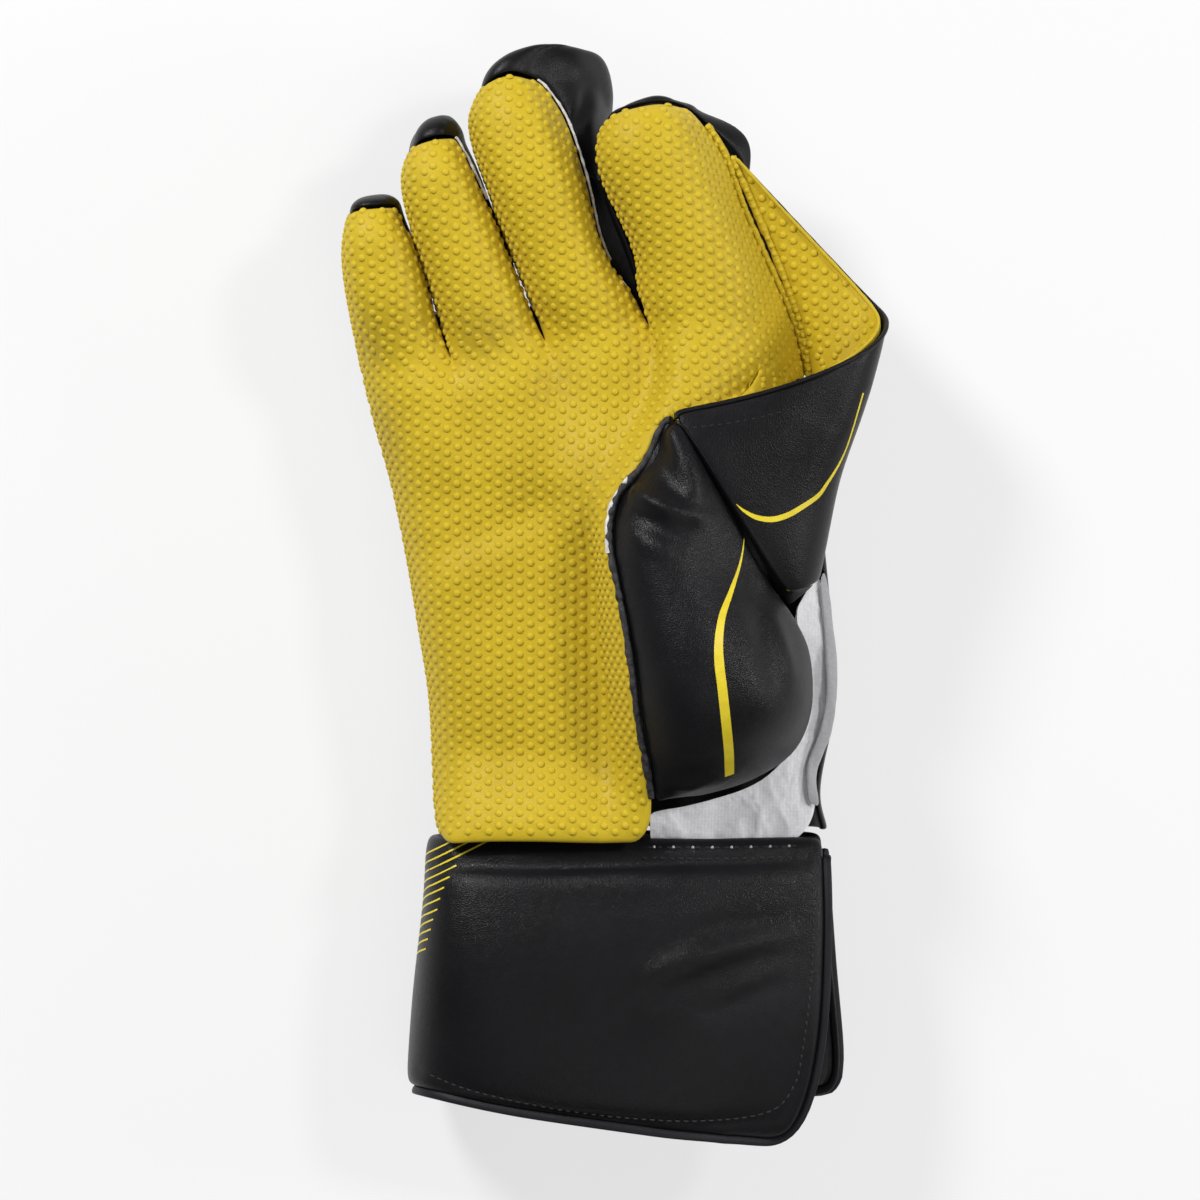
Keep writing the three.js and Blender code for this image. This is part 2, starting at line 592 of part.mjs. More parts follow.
// The cotton gusset fills the slot between the thumb's lobe, the back of the hand and the cuff.
// It runs from the web down round the lobe: i is its inner edge under the lobe, o its outer edge.
const GUSSET = table('ix iy iz ox oy oz', [
  [0.452, 0.290, 0.86, 0.512, 0.340, 0.62],
  [0.468, 0.236, 0.78, 0.540, 0.254, 0.64],
  [0.474, 0.190, 0.76, 0.550, 0.186, 0.66],
  [0.464, 0.146, 0.76, 0.530, 0.132, 0.66],
  [0.428, 0.104, 0.78, 0.494, 0.092, 0.66],
  [0.352, 0.072, 0.82, 0.505, 0.040, 0.74],
  [0.262, 0.056, 0.86, 0.440, 0.016, 0.86],
  [0.180, 0.046, 0.90, 0.290, 0.015, 0.92],
  [0.085, 0.040, 0.96, 0.090, 0.015, 0.94],
]);

const GUSSET_FACETS = 4;
const GUSSET_BULGE = 1.5;

function gussetRow(s) {
  const inner = hand(s.ix, s.iy, s.iz);
  const outer = hand(s.ox, s.oy, s.oz);
  return Array.from({ length: GUSSET_FACETS + 1 }, (_, i) => {
    const share = i / GUSSET_FACETS;
    const point = inner.clone().lerp(outer, share);
    point.z += Math.sin(Math.PI * share) * GUSSET_BULGE;
    return knot(point);
  });
}

const gussetKeys = GUSSET.map(gussetRow);

function wristGusset() {
  return new Sheet().patch(loft(gussetKeys, 2).reverse())
    .solid('wrist_gusset', whiteCotton, COTTON_WALL);
}

// A strip of tape that covers the gusset's outer edge along the hand's back
const TAPED_ROWS = 6;

function gussetTape() {
  const rows = loft(GUSSET.slice(0, TAPED_ROWS).map((s) => {
    const outer = hand(s.ox, s.oy, s.oz);
    const inward = hand(s.ix, s.iy, s.iz).sub(outer).normalize();
    return [
      knot(outer.clone().addScaledVector(inward, TAPE_WIDTH)),
      knot(outer.clone().addScaledVector(inward, TAPE_WIDTH / 2)),
      knot(outer.clone().addScaledVector(inward, -SEAM_GAP)),
    ];
  }), 2);
  return new Sheet().patch(rows.reverse())
    .solid('gusset_tape', biasTape, TAPE_WALL, -TAPE_WALL - TAPE_LIFT);
}

// The cuff: one padded panel from the front's free edge (f), over the front, round the ulnar side
// (u) and along the floor to the back's free edge (b). Shares of the cuff's width, length, depth.
const CUFF = table('down fx fz top ux uz bx bz floor', [
  [0.000, 0.505, 0.68, 0.80, -0.452, 0.40, 0.515, 0.30, 0.02],
  [0.070, 0.508, 0.76, 0.88, -0.466, 0.40, 0.515, 0.28, 0],
  [0.250, 0.512, 0.82, 0.98, -0.468, 0.42, 0.520, 0.26, 0],
  [0.500, 0.504, 0.84, 1.00, -0.482, 0.42, 0.528, 0.24, 0],
  [0.750, 0.486, 0.82, 0.98, -0.498, 0.42, 0.545, 0.22, 0],
  [0.930, 0.448, 0.78, 0.94, -0.508, 0.42, 0.552, 0.22, 0],
  [1.000, 0.390, 0.74, 0.90, -0.504, 0.42, 0.530, 0.22, 0],
]);
const CUFF_FRONT_FACETS = 8;
const CUFF_SIDE_FACETS = 6;
const CUFF_FLOOR_FACETS = 6;
const CUFF_LIP_FACETS = 4; // from the crown to the ulnar shoulder, and up to the back's free edge
const CUFF_TOP = 0.012; // how far up the hand the cuff reaches under the palm's tongue
const BOTTOM_SLANT = 0.18; // the bottom edge drops towards the thumb side
const BOTTOM_CURVE = 1.3; // more keeps the bottom edge low for longer before it rises
const BOTTOM_BACK = 0.16; // the back panel ends this much higher than the front

function cuffRow(s) {
  const place = (x, z) => new THREE.Vector3(x * CUFF_WIDTH, 0, z * CUFF_DEPTH);
  const front = place(s.fx, s.fz);
  const crown = place(0.1, s.top);
  const over = place(-0.3, s.top - 0.05);
  const side = place(s.ux, s.uz);
  const under = place(-0.28, s.floor);
  const mid = place(0.3, s.floor);
  const back = place(s.bx, s.bz);
  const row = turned(chain(
    arc(front, 165, crown, 180, CUFF_FRONT_FACETS, FLAT_ROUNDNESS),
    arc(crown, 180, over, 188, CUFF_LIP_FACETS, FLAT_ROUNDNESS),
    arc(over, 188, side, 270, CUFF_SIDE_FACETS, FULL_ROUNDNESS),
    arc(side, 270, under, 360, CUFF_SIDE_FACETS, FULL_ROUNDNESS),
    arc(under, 0, mid, 0, CUFF_FLOOR_FACETS, FLAT_ROUNDNESS),
    arc(mid, 0, back, 28, CUFF_LIP_FACETS, FLAT_ROUNDNESS),
  ));
  const frontKnots = CUFF_FRONT_FACETS + CUFF_LIP_FACETS + CUFF_SIDE_FACETS;
  row.forEach((k, i) => {
    const across = Math.min(1, k.point.x / CUFF_WIDTH + 0.5);
    const behind = THREE.MathUtils.clamp((i - frontKnots) / CUFF_SIDE_FACETS, 0, 1);
    const length = 1 - BOTTOM_SLANT * (1 - across) ** BOTTOM_CURVE - BOTTOM_BACK * behind * across;
    k.point.y = CUFF_TOP * HAND_LENGTH - s.down * CUFF_LENGTH * length;
  });
  return row;
}

const cuffRows = loft(CUFF.map(cuffRow), 1);
for (const end of [0, cuffRows.length - 1]) cuffRows[end] = squareEdge(cuffRows[end], -1);

function cuff() {
  return new Sheet().patch(cuffRows).solid('cuff', blackLeather, CUFF_WALL);
}

// The welt: a round roll sewn along the cuff's two free edges and its bottom
const WELT_SIDES = 8;

function cuffPiping() {
  const sheet = new Sheet().patch(cuffRows);
  const out = sheet.directions();
  const last = cuffRows.length - 1;
  const width = cuffRows[0].length - 1;
  const path = [];
  const put = (r, c, away) => {
    const { point } = cuffRows[r][c];
    const i = sheet.add({ point });
    path.push(point.clone()
      .addScaledVector(out[i], -CUFF_WALL / 2)
      .addScaledVector(away.clone().normalize(), WELT_RADIUS + WELT_GAP));
  };
  const edge = (r, c, inner) => cuffRows[r][c].point.clone().sub(cuffRows[r][inner].point);
  for (let r = 1; r < last; r += 1) put(r, 0, edge(r, 0, 1));
  put(last, 0, edge(last, 0, 1).normalize().sub(Y));
  for (let c = 1; c < width; c += 1) put(last, c, Y.clone().negate());
  put(last, width, edge(last, width, width - 1).normalize().sub(Y));
  for (let r = last - 1; r > 0; r -= 1) put(r, width, edge(r, width, width - 1));
  return tube('cuff_piping', blackWelt, path, WELT_RADIUS, WELT_SIDES);
}

// A round bar along a path, closed at both ends
function tube(name, material, path, radius, sides) {
  const points = [];
  const triangles = [];
  let normal = null;
  path.forEach((point, i) => {
    const before = path[Math.max(0, i - 1)];
    const after = path[Math.min(path.length - 1, i + 1)];
    const along = after.clone().sub(before).normalize();
    const guess = normal ?? new THREE.Vector3(0, 0, 1);
    normal = guess.clone().addScaledVector(along, -guess.dot(along)).normalize();
    const across = along.clone().cross(normal);
    for (let s = 0; s < sides; s += 1) {
      const angle = (s / sides) * 2 * Math.PI;
      points.push(point.clone()
        .addScaledVector(normal, radius * Math.cos(angle))
        .addScaledVector(across, radius * Math.sin(angle)));
    }
  });
  for (let i = 0; i + 1 < path.length; i += 1) {
    for (let s = 0; s < sides; s += 1) {
      const [a, b] = [i * sides + s, i * sides + ((s + 1) % sides)];
      triangles.push([a, b, b + sides], [a, b + sides, a + sides]);
    }
  }
  const end = (path.length - 1) * sides;
  for (let s = 1; s + 1 < sides; s += 1) {
    triangles.push([0, s + 1, s], [end, end + s, end + s + 1]);
  }
  return meshOf(name, material, points, triangles);
}

const glove = new THREE.Group();
glove.add(
  palmSheet().solid('palm_facing', yellowRubber, RUBBER_WALL),
  webSheet.solid('web_facing', yellowRubber, WEB_RUBBER_WALL, WEB_LEATHER_WALL + LAYER_GAP),
  webSheet.solid('web_back', blackLeather, WEB_LEATHER_WALL),
  ...Object.keys(FINGERS).map(stallBack),
  handBack(),
  thumbBack(),
  wristGusset(),
  gussetTape(),
  cuff(),
  cuffPiping(),
);

// The origin is the middle of the underside of the glove's box
const box = new THREE.Box3().setFromObject(glove);
glove.position.set(-(box.min.x + box.max.x) / 2, -(box.min.y + box.max.y) / 2, -box.min.z);
glove.updateMatrixWorld(true);

export default glove;
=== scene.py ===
import math

import bmesh
import bpy
import numpy as np
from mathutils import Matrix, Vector, noise
from mathutils.bvhtree import BVHTree
from mathutils.kdtree import KDTree


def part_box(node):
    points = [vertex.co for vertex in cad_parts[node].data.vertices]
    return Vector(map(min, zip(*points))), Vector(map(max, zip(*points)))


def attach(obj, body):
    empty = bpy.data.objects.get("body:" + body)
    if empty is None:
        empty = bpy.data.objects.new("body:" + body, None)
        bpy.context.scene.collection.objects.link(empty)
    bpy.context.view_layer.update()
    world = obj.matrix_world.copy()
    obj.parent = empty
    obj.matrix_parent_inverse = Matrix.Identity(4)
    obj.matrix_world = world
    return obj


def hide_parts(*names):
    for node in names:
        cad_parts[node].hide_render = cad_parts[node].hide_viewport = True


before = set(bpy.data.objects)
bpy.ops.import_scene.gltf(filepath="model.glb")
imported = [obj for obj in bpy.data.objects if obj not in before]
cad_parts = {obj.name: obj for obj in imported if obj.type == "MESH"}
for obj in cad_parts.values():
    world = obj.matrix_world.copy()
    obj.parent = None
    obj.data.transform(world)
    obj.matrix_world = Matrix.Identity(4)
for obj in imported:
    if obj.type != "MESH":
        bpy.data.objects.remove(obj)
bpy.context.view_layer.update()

# A right-hand wicketkeeping glove, palm up. +Y runs to the fingertips, +X to the thumb.
# Lengths are in metres, and places, lines and reaches in the tables are in mm.
MM = 0.001
RUBBER_WALL = 2.4 * MM
LEATHER_WALL = 1.6 * MM
WEB_WALL = 1.2 * MM
BACK_WALL = 2.6 * MM
THUMB_WALL = 3.0 * MM
CUFF_WALL = 6.0 * MM
COTTON_WALL = 1.0 * MM
TAPE_WALL = 1.2 * MM

PIMPLE_PITCH = 3.75 * MM
PIMPLE_RADIUS = 1.25 * MM
PIMPLE_HEIGHT = 0.65 * MM
PRINT_WALL = 0.12 * MM
PRINT_LIFT = 0.06 * MM

FINGERS = ("little", "ring", "middle", "index")


# Working with objects

def select_only(piece):
    bpy.ops.object.select_all(action="DESELECT")
    piece.select_set(True)
    bpy.context.view_layer.objects.active = piece


def new_object(name, mesh):
    piece = bpy.data.objects.new(name, mesh)
    bpy.context.scene.collection.objects.link(piece)
    return piece


def apply_modifier(piece, kind, **settings):
    """Adds one modifier with its settings and makes it part of the mesh."""
    select_only(piece)
    modifier = piece.modifiers.new(kind.title(), kind)
    for setting, value in settings.items():
        setattr(modifier, setting, value)
    bpy.ops.object.modifier_apply(modifier=modifier.name)


def subdivide(piece, levels):
    apply_modifier(piece, "SUBSURF", levels=levels, render_levels=levels)


def points_of(piece):
    flat = np.empty(len(piece.data.vertices) * 3)
    piece.data.vertices.foreach_get("co", flat)
    return flat.reshape(-1, 3)


def normals_of(piece):
    return np.array([vertex.normal[:] for vertex in piece.data.vertices])


def move_points(piece, points):
    piece.data.vertices.foreach_set("co", points.ravel())
    piece.data.update()


def join(name, pieces):
    """Joins pieces into the first one, under a new name."""
    select_only(pieces[0])
    for piece in pieces[1:]:
        piece.select_set(True)
    bpy.ops.object.join()
    pieces[0].name = name
    pieces[0].data.name = name
    return pieces[0]


def shade(piece, degrees=50):
    select_only(piece)
    bpy.ops.object.shade_smooth_by_angle(angle=math.radians(degrees))


def discard(piece):
    bpy.data.objects.remove(piece)


def hand_in(piece, slot, *nodes, material=None):
    """Finishes a piece. Its slot, what it stands for, is not used."""
    if material:
        piece.data.materials.clear()
        piece.data.materials.append(material)
    shade(piece)
    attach(piece, "root")
    if nodes:
        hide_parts(*nodes)
    return piece


# Sheets taken from the CAD solids

def islands(work):
    """The connected groups of faces."""
    left = set(work.faces)
    groups = []
    while left:
        reached = [left.pop()]
        for face in reached:
            near = {other for edge in face.edges for other in edge.link_faces} & left
            left -= near
            reached.extend(near)
        groups.append(reached)
    return groups


MERGE_DISTANCE = 0.01 * MM
SAME_LENGTH = 0.0002 * MM


def merged(name, node):
    """A CAD solid as a new object, and its mesh as a bmesh with its corners merged."""
    piece = new_object(name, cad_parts[node].data.copy())
    piece.data.materials.clear()
    work = bmesh.new()
    work.from_mesh(piece.data)
    bmesh.ops.remove_doubles(work, verts=work.verts, dist=MERGE_DISTANCE)
    return piece, work


def in_quads(piece, work, angle):
    """Joins triangles within an angle into quads, and gives the mesh back to its object."""
    bmesh.ops.join_triangles(work, faces=work.faces, angle_face_threshold=angle,
                             angle_shape_threshold=math.pi)
    work.to_mesh(piece.data)
    work.free()
    return piece


def skin(name, node, wall, inner=False):
    """One side of a CAD sheet. The faces of its rim, left out, have an edge as long as the wall."""
    piece, work = merged(name, node)
    rim = [face for face in work.faces
           if any(abs(edge.calc_length() - wall) < SAME_LENGTH for edge in face.edges)]
    bmesh.ops.delete(work, geom=rim, context="FACES")
    sides = sorted(islands(work), key=lambda faces: (
        round(sum(face.calc_area() for face in faces) / MM ** 2),
        sum(face.normal.z for face in faces)))
    bmesh.ops.delete(work, geom=sides[-1] if inner else sides[0], context="FACES")
    return in_quads(piece, work, math.pi)


def sheet_of(name, node, wall, levels, material, lining=None, inner=False):
    """A CAD sheet as a smooth piece with its wall and rounded rim, and its outer face alone."""
    face = skin(name + " face", node, wall, inner)
    piece = new_object(name, face.data.copy())
    piece.data.name = name
    piece.data.materials.append(material)
    piece.data.materials.append(lining or material)
    apply_modifier(piece, "SOLIDIFY", thickness=wall, offset=-1.0, use_rim=True, material_offset=1)
    for each in (piece, face):
        subdivide(each, levels)
    return piece, face


# Folds

FACING_BLEND = 0.3
FOLD_END = 0.02


def from_line(points, line):
    """Each point's distance from a line seen from above, how far along it is, and its foot."""
    line = np.array(line) * MM
    steps = np.linalg.norm(np.diff(line, axis=0), axis=1)
    starts = np.concatenate(([0], np.cumsum(steps)))
    best = np.full(len(points), np.inf)
    share = np.zeros(len(points))
    feet = np.zeros((len(points), 2))
    for start, end, step, gone in zip(line, line[1:], steps, starts):
        t = np.clip(((points[:, :2] - start) @ (end - start)) / step ** 2, 0, 1)
        foot = start + t[:, None] * (end - start)
        away = np.linalg.norm(points[:, :2] - foot, axis=1)
        nearer = away < best
        best[nearer] = away[nearer]
        share[nearer] = ((gone + t * step) / starts[-1])[nearer]
        feet[nearer] = foot[nearer]
    return best, share, feet


def press(piece, folds, facing=0.15):
    """Raises ridges and presses creases into what faces up: (line, height, reach)."""
    points = points_of(piece)
    normals = normals_of(piece)
    up = np.clip((normals[:, 2] - facing) / FACING_BLEND, 0, 1)
    move = np.zeros(len(points))
    for line, height, reach in folds:
        away, share, _ = from_line(points, line)
        along = np.clip(share, FOLD_END, 1 - FOLD_END)
        fade = np.sqrt(np.clip(np.sin(np.pi * along), 0, 1))
        move += height * MM * np.exp(-(away / (reach * MM)) ** 2) * fade
    move_points(piece, points + normals * (move * up)[:, None])


def draw_in(piece, lines):
    """Draws a piece's edges together towards lines seen from above: (line, reach, share)."""
    points = points_of(piece)
    for line, reach, share in lines:
        away, _, feet = from_line(points, line)
        pull = share * np.exp(-(away / (reach * MM)) ** 2)
        points[:, :2] += (feet - points[:, :2]) * pull[:, None]
    move_points(piece, points)


def ripple(piece, height, size, stretch=(1, 1, 1), seed=0):
    """Uneven soft relief all over a piece, such as padding that has settled."""
    points = points_of(piece)
    normals = normals_of(piece)
    scale = np.array(stretch) / (size * MM)
    drift = Vector((seed * 7.3, seed * 3.1, seed * 5.7))
    move = np.array([noise.noise(Vector(point * scale) + drift) for point in points])
    move_points(piece, points + normals * (move * height * MM)[:, None])


# Lines on a surface

RAY_START = 200 * MM


def surface(piece):
    """A search tree over a piece's faces."""
    return BVHTree.FromObject(piece, bpy.context.evaluated_depsgraph_get())


def dropped(tree, line):
    """Where a line seen from above meets a surface, with the surface's direction there."""
    places = []
    for x, y in line:
        above = Vector((x * MM, y * MM, RAY_START))
        point, normal, _, _ = tree.ray_cast(above, Vector((0, 0, -1)))
        if point:
            places.append((point, normal))
    return places


def curved(line, count):
    """A smooth line through points, with so many steps between each two."""
    points = [Vector(point) for point in line]
    points = [2 * points[0] - points[1], *points, 2 * points[-1] - points[-2]]
    smooth = []
    for a, b, c, d in zip(points, points[1:], points[2:], points[3:]):
        for step in range(count):
            t = step / count
            smooth.append(0.5 * (2 * b + (c - a) * t + (2 * a - 5 * b + 4 * c - d) * t ** 2
                                 + (3 * b - a - 3 * c + d) * t ** 3))
    return [*smooth, points[-2]]


def laid_line(tree, line, steps):
    """A smooth line through points seen from above, laid on a surface."""
    return dropped(tree, [point[:2] for point in curved([(*point, 0) for point in line], steps)])


def spaced(places, pitch, start=0.0):
    """Places at even steps along a line of places, with their directions and the way ahead."""
    spots = []
    gone, due = 0.0, start
    for (a, out_a), (b, out_b) in zip(places, places[1:]):
        step = (b - a).length
        while step > 0 and due <= gone + step:
            t = (due - gone) / step
            spots.append((a.lerp(b, t), out_a.lerp(out_b, t).normalized(), (b - a) / step))
            due += pitch
        gone += step
    return spots


def evened(places, count):
    """The same run of places with even steps."""
    whole = sum((b[0] - a[0]).length for a, b in zip(places, places[1:]))
    even = [(place, out) for place, out, _ in spaced(places, whole / (count - 1) * 0.99999)]
    return [*even, places[-1]][:count]


def edge_run(piece, ends, count):
    """A skin's free edge between two places, as evenly spaced places with outward directions."""
    corners = piece.data.vertices
    uses = {}
    for polygon in piece.data.polygons:
        for key in polygon.edge_keys:
            uses[key] = uses.get(key, 0) + 1
    near = {}
    for (a, b), faces in uses.items():
        if faces == 1:
            near.setdefault(a, []).append(b)
            near.setdefault(b, []).append(a)

    def closest(place):
        return min(near, key=lambda i: (corners[i].co - Vector(place) * MM).length)

    def length(run):
        return sum((corners[a].co - corners[b].co).length for a, b in zip(run, run[1:]))

    first, last = map(closest, ends)
    runs = []
    for second in near[first]:
        run = [first, second]
        while run[-1] != last and len(run) <= len(near):
            ahead = [i for i in near[run[-1]] if i != run[-2]]
            if not ahead:
                break
            run.append(ahead[0])
        if run[-1] == last:
            runs.append(run)
    best = min(runs, key=length)
    return evened([(corners[i].co.copy(), corners[i].normal.copy()) for i in best], count)


def strip(name, left, right, wall):
    """A narrow band between two lines of the same count: a grid whose rows are laid on them."""
    bpy.ops.mesh.primitive_grid_add(x_subdivisions=1, y_subdivisions=len(left) - 1, size=1)
    piece = bpy.context.object
    piece.name = name
    piece.data.name = name
    corners = piece.data.vertices
    order = sorted(range(len(corners)),
                   key=lambda i: (round(corners[i].co.y * 1e4), corners[i].co.x))
    spots = [place for pair in zip(left, right) for place in pair]
    for i, spot in zip(order, spots):
        corners[i].co = spot
    piece.data.update()
    apply_modifier(piece, "SOLIDIFY", thickness=wall, offset=1.0, use_rim=True)
    return piece


PRINT_STEPS = 8


def printed(name, tree, line, widths):
    """A flat printed stripe along a line that is seen from above."""
    last = len(line) - 1
    stations = np.linspace(0, last, last * PRINT_STEPS + 1)
    broad = np.interp(stations, np.arange(len(line)), widths) * MM
    return laid_stripe(name, laid_line(tree, line, PRINT_STEPS), broad)


def laid_stripe(name, places, broad):
    left, right = [], []
    for i, ((point, normal), width) in enumerate(zip(places, broad)):
        ahead = places[min(i + 1, len(places) - 1)][0] - places[max(i - 1, 0)][0]
        side = ahead.cross(normal).normalized() * width / 2
        raised = normal * PRINT_LIFT
        left.append(point - side + raised)
        right.append(point + side + raised)
    return strip(name, right, left, PRINT_WALL)


WALK_STEP = 1.0 * MM


def walk(tree, start, ahead, length):
    """Places along a straight line on a surface, round its bends."""
    point, normal, _, _ = tree.find_nearest(start)
    places = [(point, normal)]
    ahead = Vector(ahead)
    for _ in range(int(length / WALK_STEP)):
        ahead = (ahead - normal * ahead.dot(normal)).normalized()
        point, normal, _, _ = tree.find_nearest(point + ahead * WALK_STEP)
        places.append((point, normal))
    return places


WOBBLE_SIZE = 2.2 * MM


def roll(name, places, radius, wobble, seed, lift=0.0):
    """A rounded roll along places, its thickness uneven by a share, made from a bevelled curve."""
    curve = bpy.data.curves.new(name, "CURVE")
    curve.dimensions = "3D"
    curve.bevel_depth = radius
    curve.bevel_resolution = 3
    curve.use_fill_caps = True
    spline = curve.splines.new("POLY")
    spline.points.add(len(places) - 1)
    for i, (knot, (point, normal)) in enumerate(zip(spline.points, places)):
        uneven = noise.noise(Vector((point.x, point.y, seed)) / WOBBLE_SIZE)
        knot.co = (*(point + normal * (lift + 0.5 * wobble * uneven * radius)), 1)
        knot.radius = 1 + wobble * uneven
    piece = new_object(name, curve)
    select_only(piece)
    bpy.ops.object.convert(target="MESH")
    return bpy.context.object


# Repeated small shapes

def dome():
    """One pimple of the rubber: a low rounded stud with a foot, its base at the origin."""
    bpy.ops.mesh.primitive_cone_add(vertices=8, radius1=1, radius2=0.8, depth=1,
                                    end_fill_type="NOTHING")
    piece = bpy.context.object
    bpy.ops.object.mode_set(mode="EDIT")
    bpy.ops.mesh.select_all(action="SELECT")
    bpy.ops.mesh.bisect(plane_co=(0, 0, 0.1), plane_no=(0, 0, 1))
    bpy.ops.object.mode_set(mode="OBJECT")
    work = bmesh.new()
    work.from_mesh(piece.data)
    top = [edge for edge in work.edges if all(vert.co.z > 0.49 for vert in edge.verts)]
    cap = bmesh.ops.edgeloop_fill(work, edges=top)["faces"]
    bmesh.ops.poke(work, faces=cap)
    for vert in work.verts:
        out = math.hypot(vert.co.x, vert.co.y)
        if out < 0.1:
            vert.co = (0, 0, 1)
        elif vert.co.z > 0.4:
            vert.co = (vert.co.x / out * 0.55, vert.co.y / out * 0.55, 0.86)
        elif vert.co.z > 0:
            vert.co = (vert.co.x / out * 0.90, vert.co.y / out * 0.90, 0.42)
        else:
            vert.co = (vert.co.x / out * 1.05, vert.co.y / out * 1.05, -0.2)
    work.to_mesh(piece.data)
    work.free()
    move_points(piece, points_of(piece) * (PIMPLE_RADIUS, PIMPLE_RADIUS, PIMPLE_HEIGHT))
    return piece


def thread():
    """One stitch: a short thread that dips into the leather at both ends, along X."""
    bpy.ops.mesh.primitive_cylinder_add(vertices=6, radius=1, depth=2, rotation=(0, math.pi / 2, 0))
    piece = bpy.context.object
    bpy.ops.object.transform_apply(rotation=True)
    bpy.ops.object.mode_set(mode="EDIT")
    for x in (-0.55, 0, 0.55):
        bpy.ops.mesh.select_all(action="SELECT")
        bpy.ops.mesh.bisect(plane_co=(x, 0, 0), plane_no=(1, 0, 0))
    bpy.ops.object.mode_set(mode="OBJECT")
    points = points_of(piece)
    thin = 1 - 0.45 * np.abs(points[:, 0]) ** 2
    points[:, 1] *= thin
    points[:, 2] = points[:, 2] * thin + 0.5 - 1.6 * points[:, 0] ** 2
    move_points(piece, points)
    return piece


def stamped(name, template, spots, size=(1, 1, 1), attribute=None):
    """One mesh with a copy of a template at each spot: (place, up, ahead)."""
    shape = points_of(template) * size
    faces = [tuple(polygon.vertices) for polygon in template.data.polygons]
    discard(template)
    points, polygons = [], []
    for place, up, ahead in spots:
        ahead = (ahead - up * ahead.dot(up)).normalized()
        axes = np.array([ahead[:], up.cross(ahead)[:], up[:]])
        first = len(points) * len(shape)
        points.append(shape @ axes + np.array(place[:]))
        polygons.extend(tuple(first + i for i in face) for face in faces)
    mesh = bpy.data.meshes.new(name)
    mesh.from_pydata(np.concatenate(points).tolist(), [], polygons)
    mesh.update()
    if attribute:
        # The rise, 0 at the foot and 1 at the top, sets how far the rubber's painted highlight
        # pales a pimple.
        rise = np.tile(np.clip(shape[:, 2] / shape[:, 2].max(), 0, 1), len(points))
        mesh.attributes.new(attribute, "FLOAT", "POINT").data.foreach_set("value", rise)
    return new_object(name, mesh)


def cut_lines(piece, along):
    """The lines in which the plane at one place up the hand cuts a skin, from its ulnar end."""
    work = bmesh.new()
    work.from_mesh(piece.data)
    cut = bmesh.ops.bisect_plane(work, geom=[*work.verts, *work.edges, *work.faces],
                                 plane_co=(0, along, 0), plane_no=(0, 1, 0))["geom_cut"]
    work.normal_update()
    near = {}
    for edge in cut:
        if isinstance(edge, bmesh.types.BMEdge):
            for vert in edge.verts:
                near.setdefault(vert, []).append(edge.other_vert(vert))
    lines = []
    seen = set()
    for end in sorted((vert for vert in near if len(near[vert]) == 1), key=lambda vert: vert.co.x):
        if end in seen:
            continue
        run, ahead = [], [end]
        while ahead:
            run.append(ahead[0])
            seen.add(ahead[0])
            ahead = [vert for vert in near[run[-1]] if vert not in seen]
        lines.append([(vert.co.copy(), vert.normal.copy()) for vert in run])
    work.free()
    return lines


SNAP_REACH = 1.5 * MM
SNAP_TURN = 0.75


def column_on(line, middle, pitch, odd):
    """How far along a row its middle column stands, so that columns run on from row to row."""
    gone, stations, places = 0.0, [0.0], [line[0][0].x]
    for (a, _), (b, _) in zip(line, line[1:]):
        gone += (b - a).length
        stations.append(gone)
        places.append(b.x)
    column = (round(np.interp(middle, stations, places) / pitch - odd / 2) + odd / 2) * pitch
    near = [abs(place - column) + 0.2 * abs(station - middle)
            for station, place in zip(stations, places)]
    best = int(np.argmin(near))
    return stations[best] + column - places[best]


def pimple_spots(face, tree, low, high, margin):
    """Where pimples stand on a sheet: columns up the hand, every other row half a pitch on."""
    spots = []
    pitch = PIMPLE_PITCH * math.sqrt(3)
    row_pitch = PIMPLE_PITCH / 2
    for row in range(int((high - low) / row_pitch) + 1):
        for line in cut_lines(face, low + row * row_pitch):
            whole = sum((b[0] - a[0]).length for a, b in zip(line, line[1:]))
            start = margin + (column_on(line, whole / 2, pitch, row % 2) - margin) % pitch
            keep = int(max(0, (whole - margin - start) / pitch)) + 1
            for place, out, ahead in spaced(line, pitch, start)[:keep]:
                found, normal, _, away = tree.find_nearest(place)
                if away < SNAP_REACH and normal.dot(out) > SNAP_TURN:
                    spots.append((found, normal, ahead))
    return spots


def studded(piece, face, low, high, margin):
    """Joins the pimples that stand on a sheet's face to the sheet."""
    spots = pimple_spots(face, surface(piece), low, high, margin)
    pimples = stamped("pimples", dome(), spots, attribute="rise")
    pimples.data.materials.append(RUBBER)
    return join(piece.name, [piece, pimples])


def midway(one, other, share=0.5):
    """Places between two evened runs."""
    return [(a.lerp(b, share), out_a.lerp(out_b, share).normalized())
            for (a, out_a), (b, out_b) in zip(one, other)]


def lifted(places, height):
    return [(point + Vector((0, 0, height)), out) for point, out in places]


def band(name, one, other, wall, material):
    """A flat band between two evened runs of places."""
    piece = strip(name, [point for point, _ in one], [point for point, _ in other], wall)
    piece.data.materials.append(material)
    return piece


def sewn(name, places, pitch, size, material):
    """A row of stitches along places."""
    piece = stamped(name, thread(), spaced(places, pitch, pitch / 2), [part * MM for part in size])
    piece.data.materials.append(material)
    return piece


SWELL_FADE = 8 * MM


def swell(piece, centre, reach, move, top):
    """Pushes part of a piece out, less near its edge at a height."""
    points = points_of(piece)
    away = np.linalg.norm(points[:, :2] - np.array(centre) * MM, axis=1)
    low = np.clip((top * MM - points[:, 2]) / SWELL_FADE, 0, 1)
    share = np.exp(-(away / (reach * MM)) ** 2) * low
    move_points(piece, points + share[:, None] * np.array(move) * MM)


HUG_REACH = 3.2 * MM
HUG_SINK = 0.35 * MM


